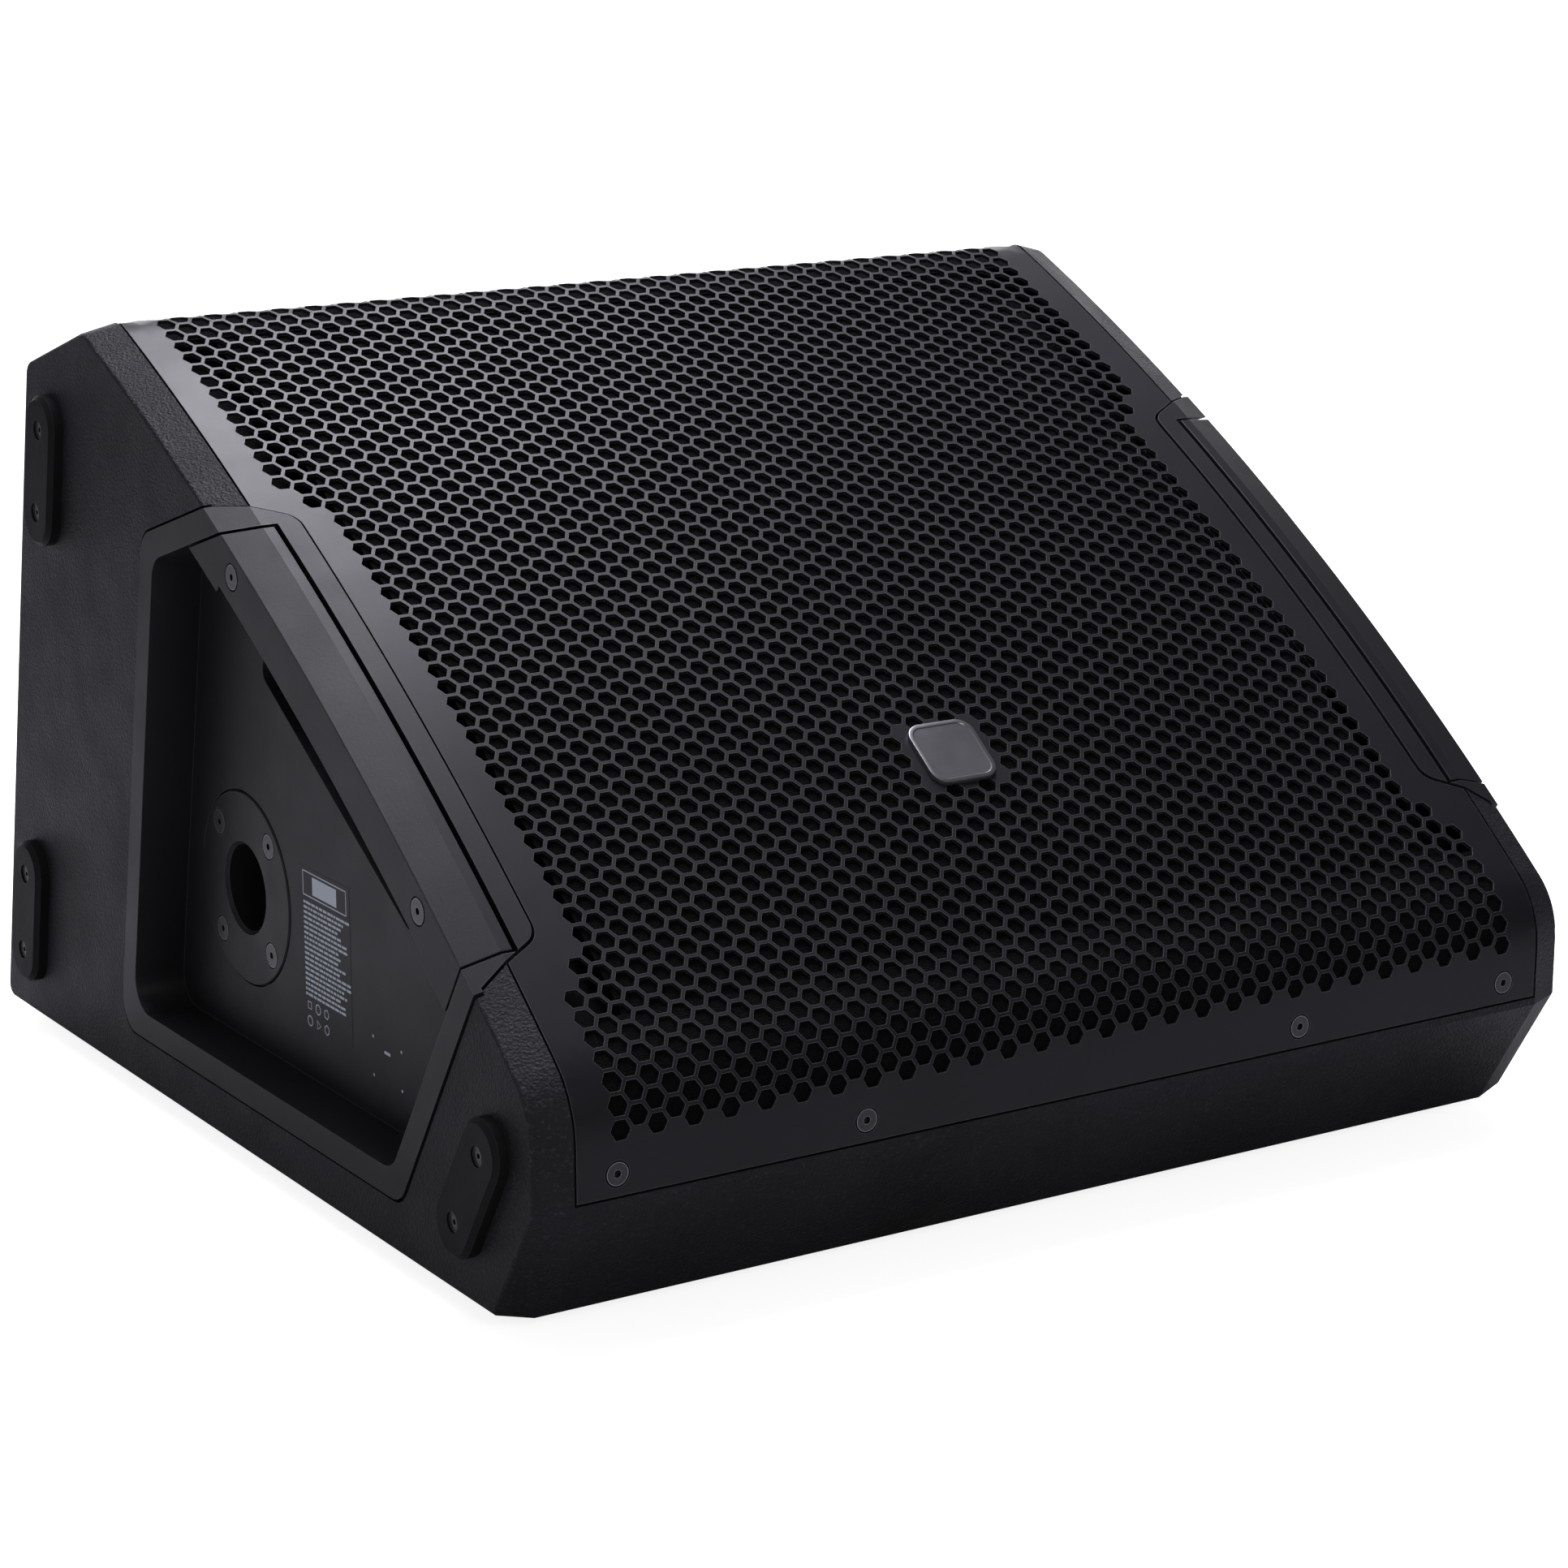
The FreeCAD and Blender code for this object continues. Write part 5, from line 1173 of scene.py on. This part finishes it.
@dataclass(frozen=True)
class Softbox:
    """A soft light: where it stands and aims, its width and height, power in watts and tint."""

    name: str
    place: Point
    target: Point
    size: Spot
    power: float
    tint: Colour

    def build(self) -> None:
        """Make the area light, which the camera doesn't see."""
        data = bpy.data.lights.new(self.name, "AREA")
        data.shape = "RECTANGLE"
        data.size, data.size_y = self.size
        data.energy = self.power
        data.color = self.tint
        made = bpy.data.objects.new(self.name, data)
        made.location = self.place
        made.visible_camera = False
        aim = Vector(self.target) - Vector(self.place)
        made.rotation_euler = aim.to_track_quat("-Z", "Y").to_euler()
        bpy.context.scene.collection.objects.link(made)


SOFTBOXES = (
    Softbox("key_above", (0.2, 0.42, 1.7), (0.0, 0.2, 0.2), (0.5, 1.5), 52.0, (0.93, 0.91, 1.0)),
    Softbox("back_glow", (3.1, 6.2, 1.7), (0.0, 0.0, 0.25), (7.0, 3.2), 290.0, (0.97, 0.98, 1.0)),
    Softbox("side_fill", (-2.4, -0.9, 1.2), (-0.2, 0.0, 0.15), (0.8, 0.8), 5.0, (1.0, 1.0, 1.0)),
    Softbox("front_fill", (-0.4, -2.6, 1.5), (0.0, -0.2, 0.05), (1.2, 0.8), 16.0, (1.0, 1.0, 1.0)),
)


@dataclass
class Studio:
    """Camera, floor and soft lights."""

    eye: Point = (-0.9219, -1.4751, 0.5892)
    elevation: float = 14.88
    azimuth: float = 32.503
    lens: float = 95.56
    sensor: float = 36.0
    near_clip: float = 0.05
    floor_half: float = 16.0
    floor_tone: Colour = (0.6, 0.6, 0.61)
    floor_rough: float = 0.7
    floor_gloss: float = 0.2
    floor_glow: float = 0.85
    dim_sky: Colour = (0.07, 0.07, 0.078)
    bright_sky: Colour = (0.34, 0.34, 0.37)
    bright_side: Point = (-0.5, 0.78, 0.37)
    sky_range: Spot = (-0.35, 0.95)
    backdrop: Colour = (0.94, 0.94, 0.95)

    def camera(self) -> None:
        """Make the camera."""
        data = bpy.data.cameras.new("camera")
        data.lens = self.lens
        data.sensor_width = self.sensor
        data.clip_start = self.near_clip
        made = bpy.data.objects.new("camera", data)
        made.location = self.eye
        made.rotation_euler = (math.radians(90 - self.elevation), 0.0, -math.radians(self.azimuth))
        bpy.context.scene.collection.objects.link(made)
        bpy.context.scene.camera = made

    def sky(self) -> None:
        """Make the world: a dim sky with one brighter side, and a pale backdrop for the camera."""
        world = bpy.data.worlds.new("studio")
        world.use_nodes = True
        sky = world.node_tree
        facing = add_node(sky, "ShaderNodeVectorMath", operation="DOT_PRODUCT")
        wire(sky, add_node(sky, "ShaderNodeTexCoord").outputs["Generated"], facing.inputs[0])
        facing.inputs[1].default_value = self.bright_side
        amount = ranged(sky, facing.outputs["Value"], *self.sky_range)
        lighting = blended(sky, amount, (*self.dim_sky, 1.0), (*self.bright_sky, 1.0))
        seen = add_node(sky, "ShaderNodeLightPath").outputs["Is Camera Ray"]
        wire(sky, blended(sky, seen, lighting, (*self.backdrop, 1.0)),
             sky.nodes["Background"].inputs["Color"])
        bpy.context.scene.world = world

    def floor(self) -> None:
        """Make the pale floor, which glows for the camera only."""
        bm = bmesh.new()
        bmesh.ops.create_grid(bm, x_segments=4, y_segments=4, size=self.floor_half)
        mesh = bpy.data.meshes.new("floor")
        bm.to_mesh(mesh)
        bm.free()
        paint = bpy.data.materials.new("PaleFloor")
        paint.use_nodes = True
        tree = paint.node_tree
        shader = tree.nodes["Principled BSDF"].inputs
        shader["Base Color"].default_value = (*self.floor_tone, 1.0)
        shader["Emission Color"].default_value = (1.0, 1.0, 1.0, 1.0)
        seen = add_node(tree, "ShaderNodeLightPath").outputs["Is Camera Ray"]
        wire(tree, maths(tree, "MULTIPLY", seen, self.floor_glow), shader["Emission Strength"])
        shader["Roughness"].default_value = self.floor_rough
        shader["Specular IOR Level"].default_value = self.floor_gloss
        mesh.materials.append(paint)
        made = bpy.data.objects.new("floor", mesh)
        bpy.context.scene.collection.objects.link(made)

    def build(self) -> None:
        """Set up the whole studio."""
        self.camera()
        self.sky()
        self.floor()
        for softbox in SOFTBOXES:
            softbox.build()
        bpy.context.scene.view_settings.view_transform = "Standard"


def main() -> None:
    """Build every sub-assembly in turn."""
    logging.basicConfig(level=logging.INFO)
    workshop = Workshop()
    Studio().build()
    workshop.dress_nodes()
    curve = SlopeCurve()
    PerforatedGrille(curve).build(workshop)
    HandleTrims().build(workshop)
    RatingPrint().build(workshop)
    ConnectorPanel().build(workshop)


if __name__ == "__main__":
    main()
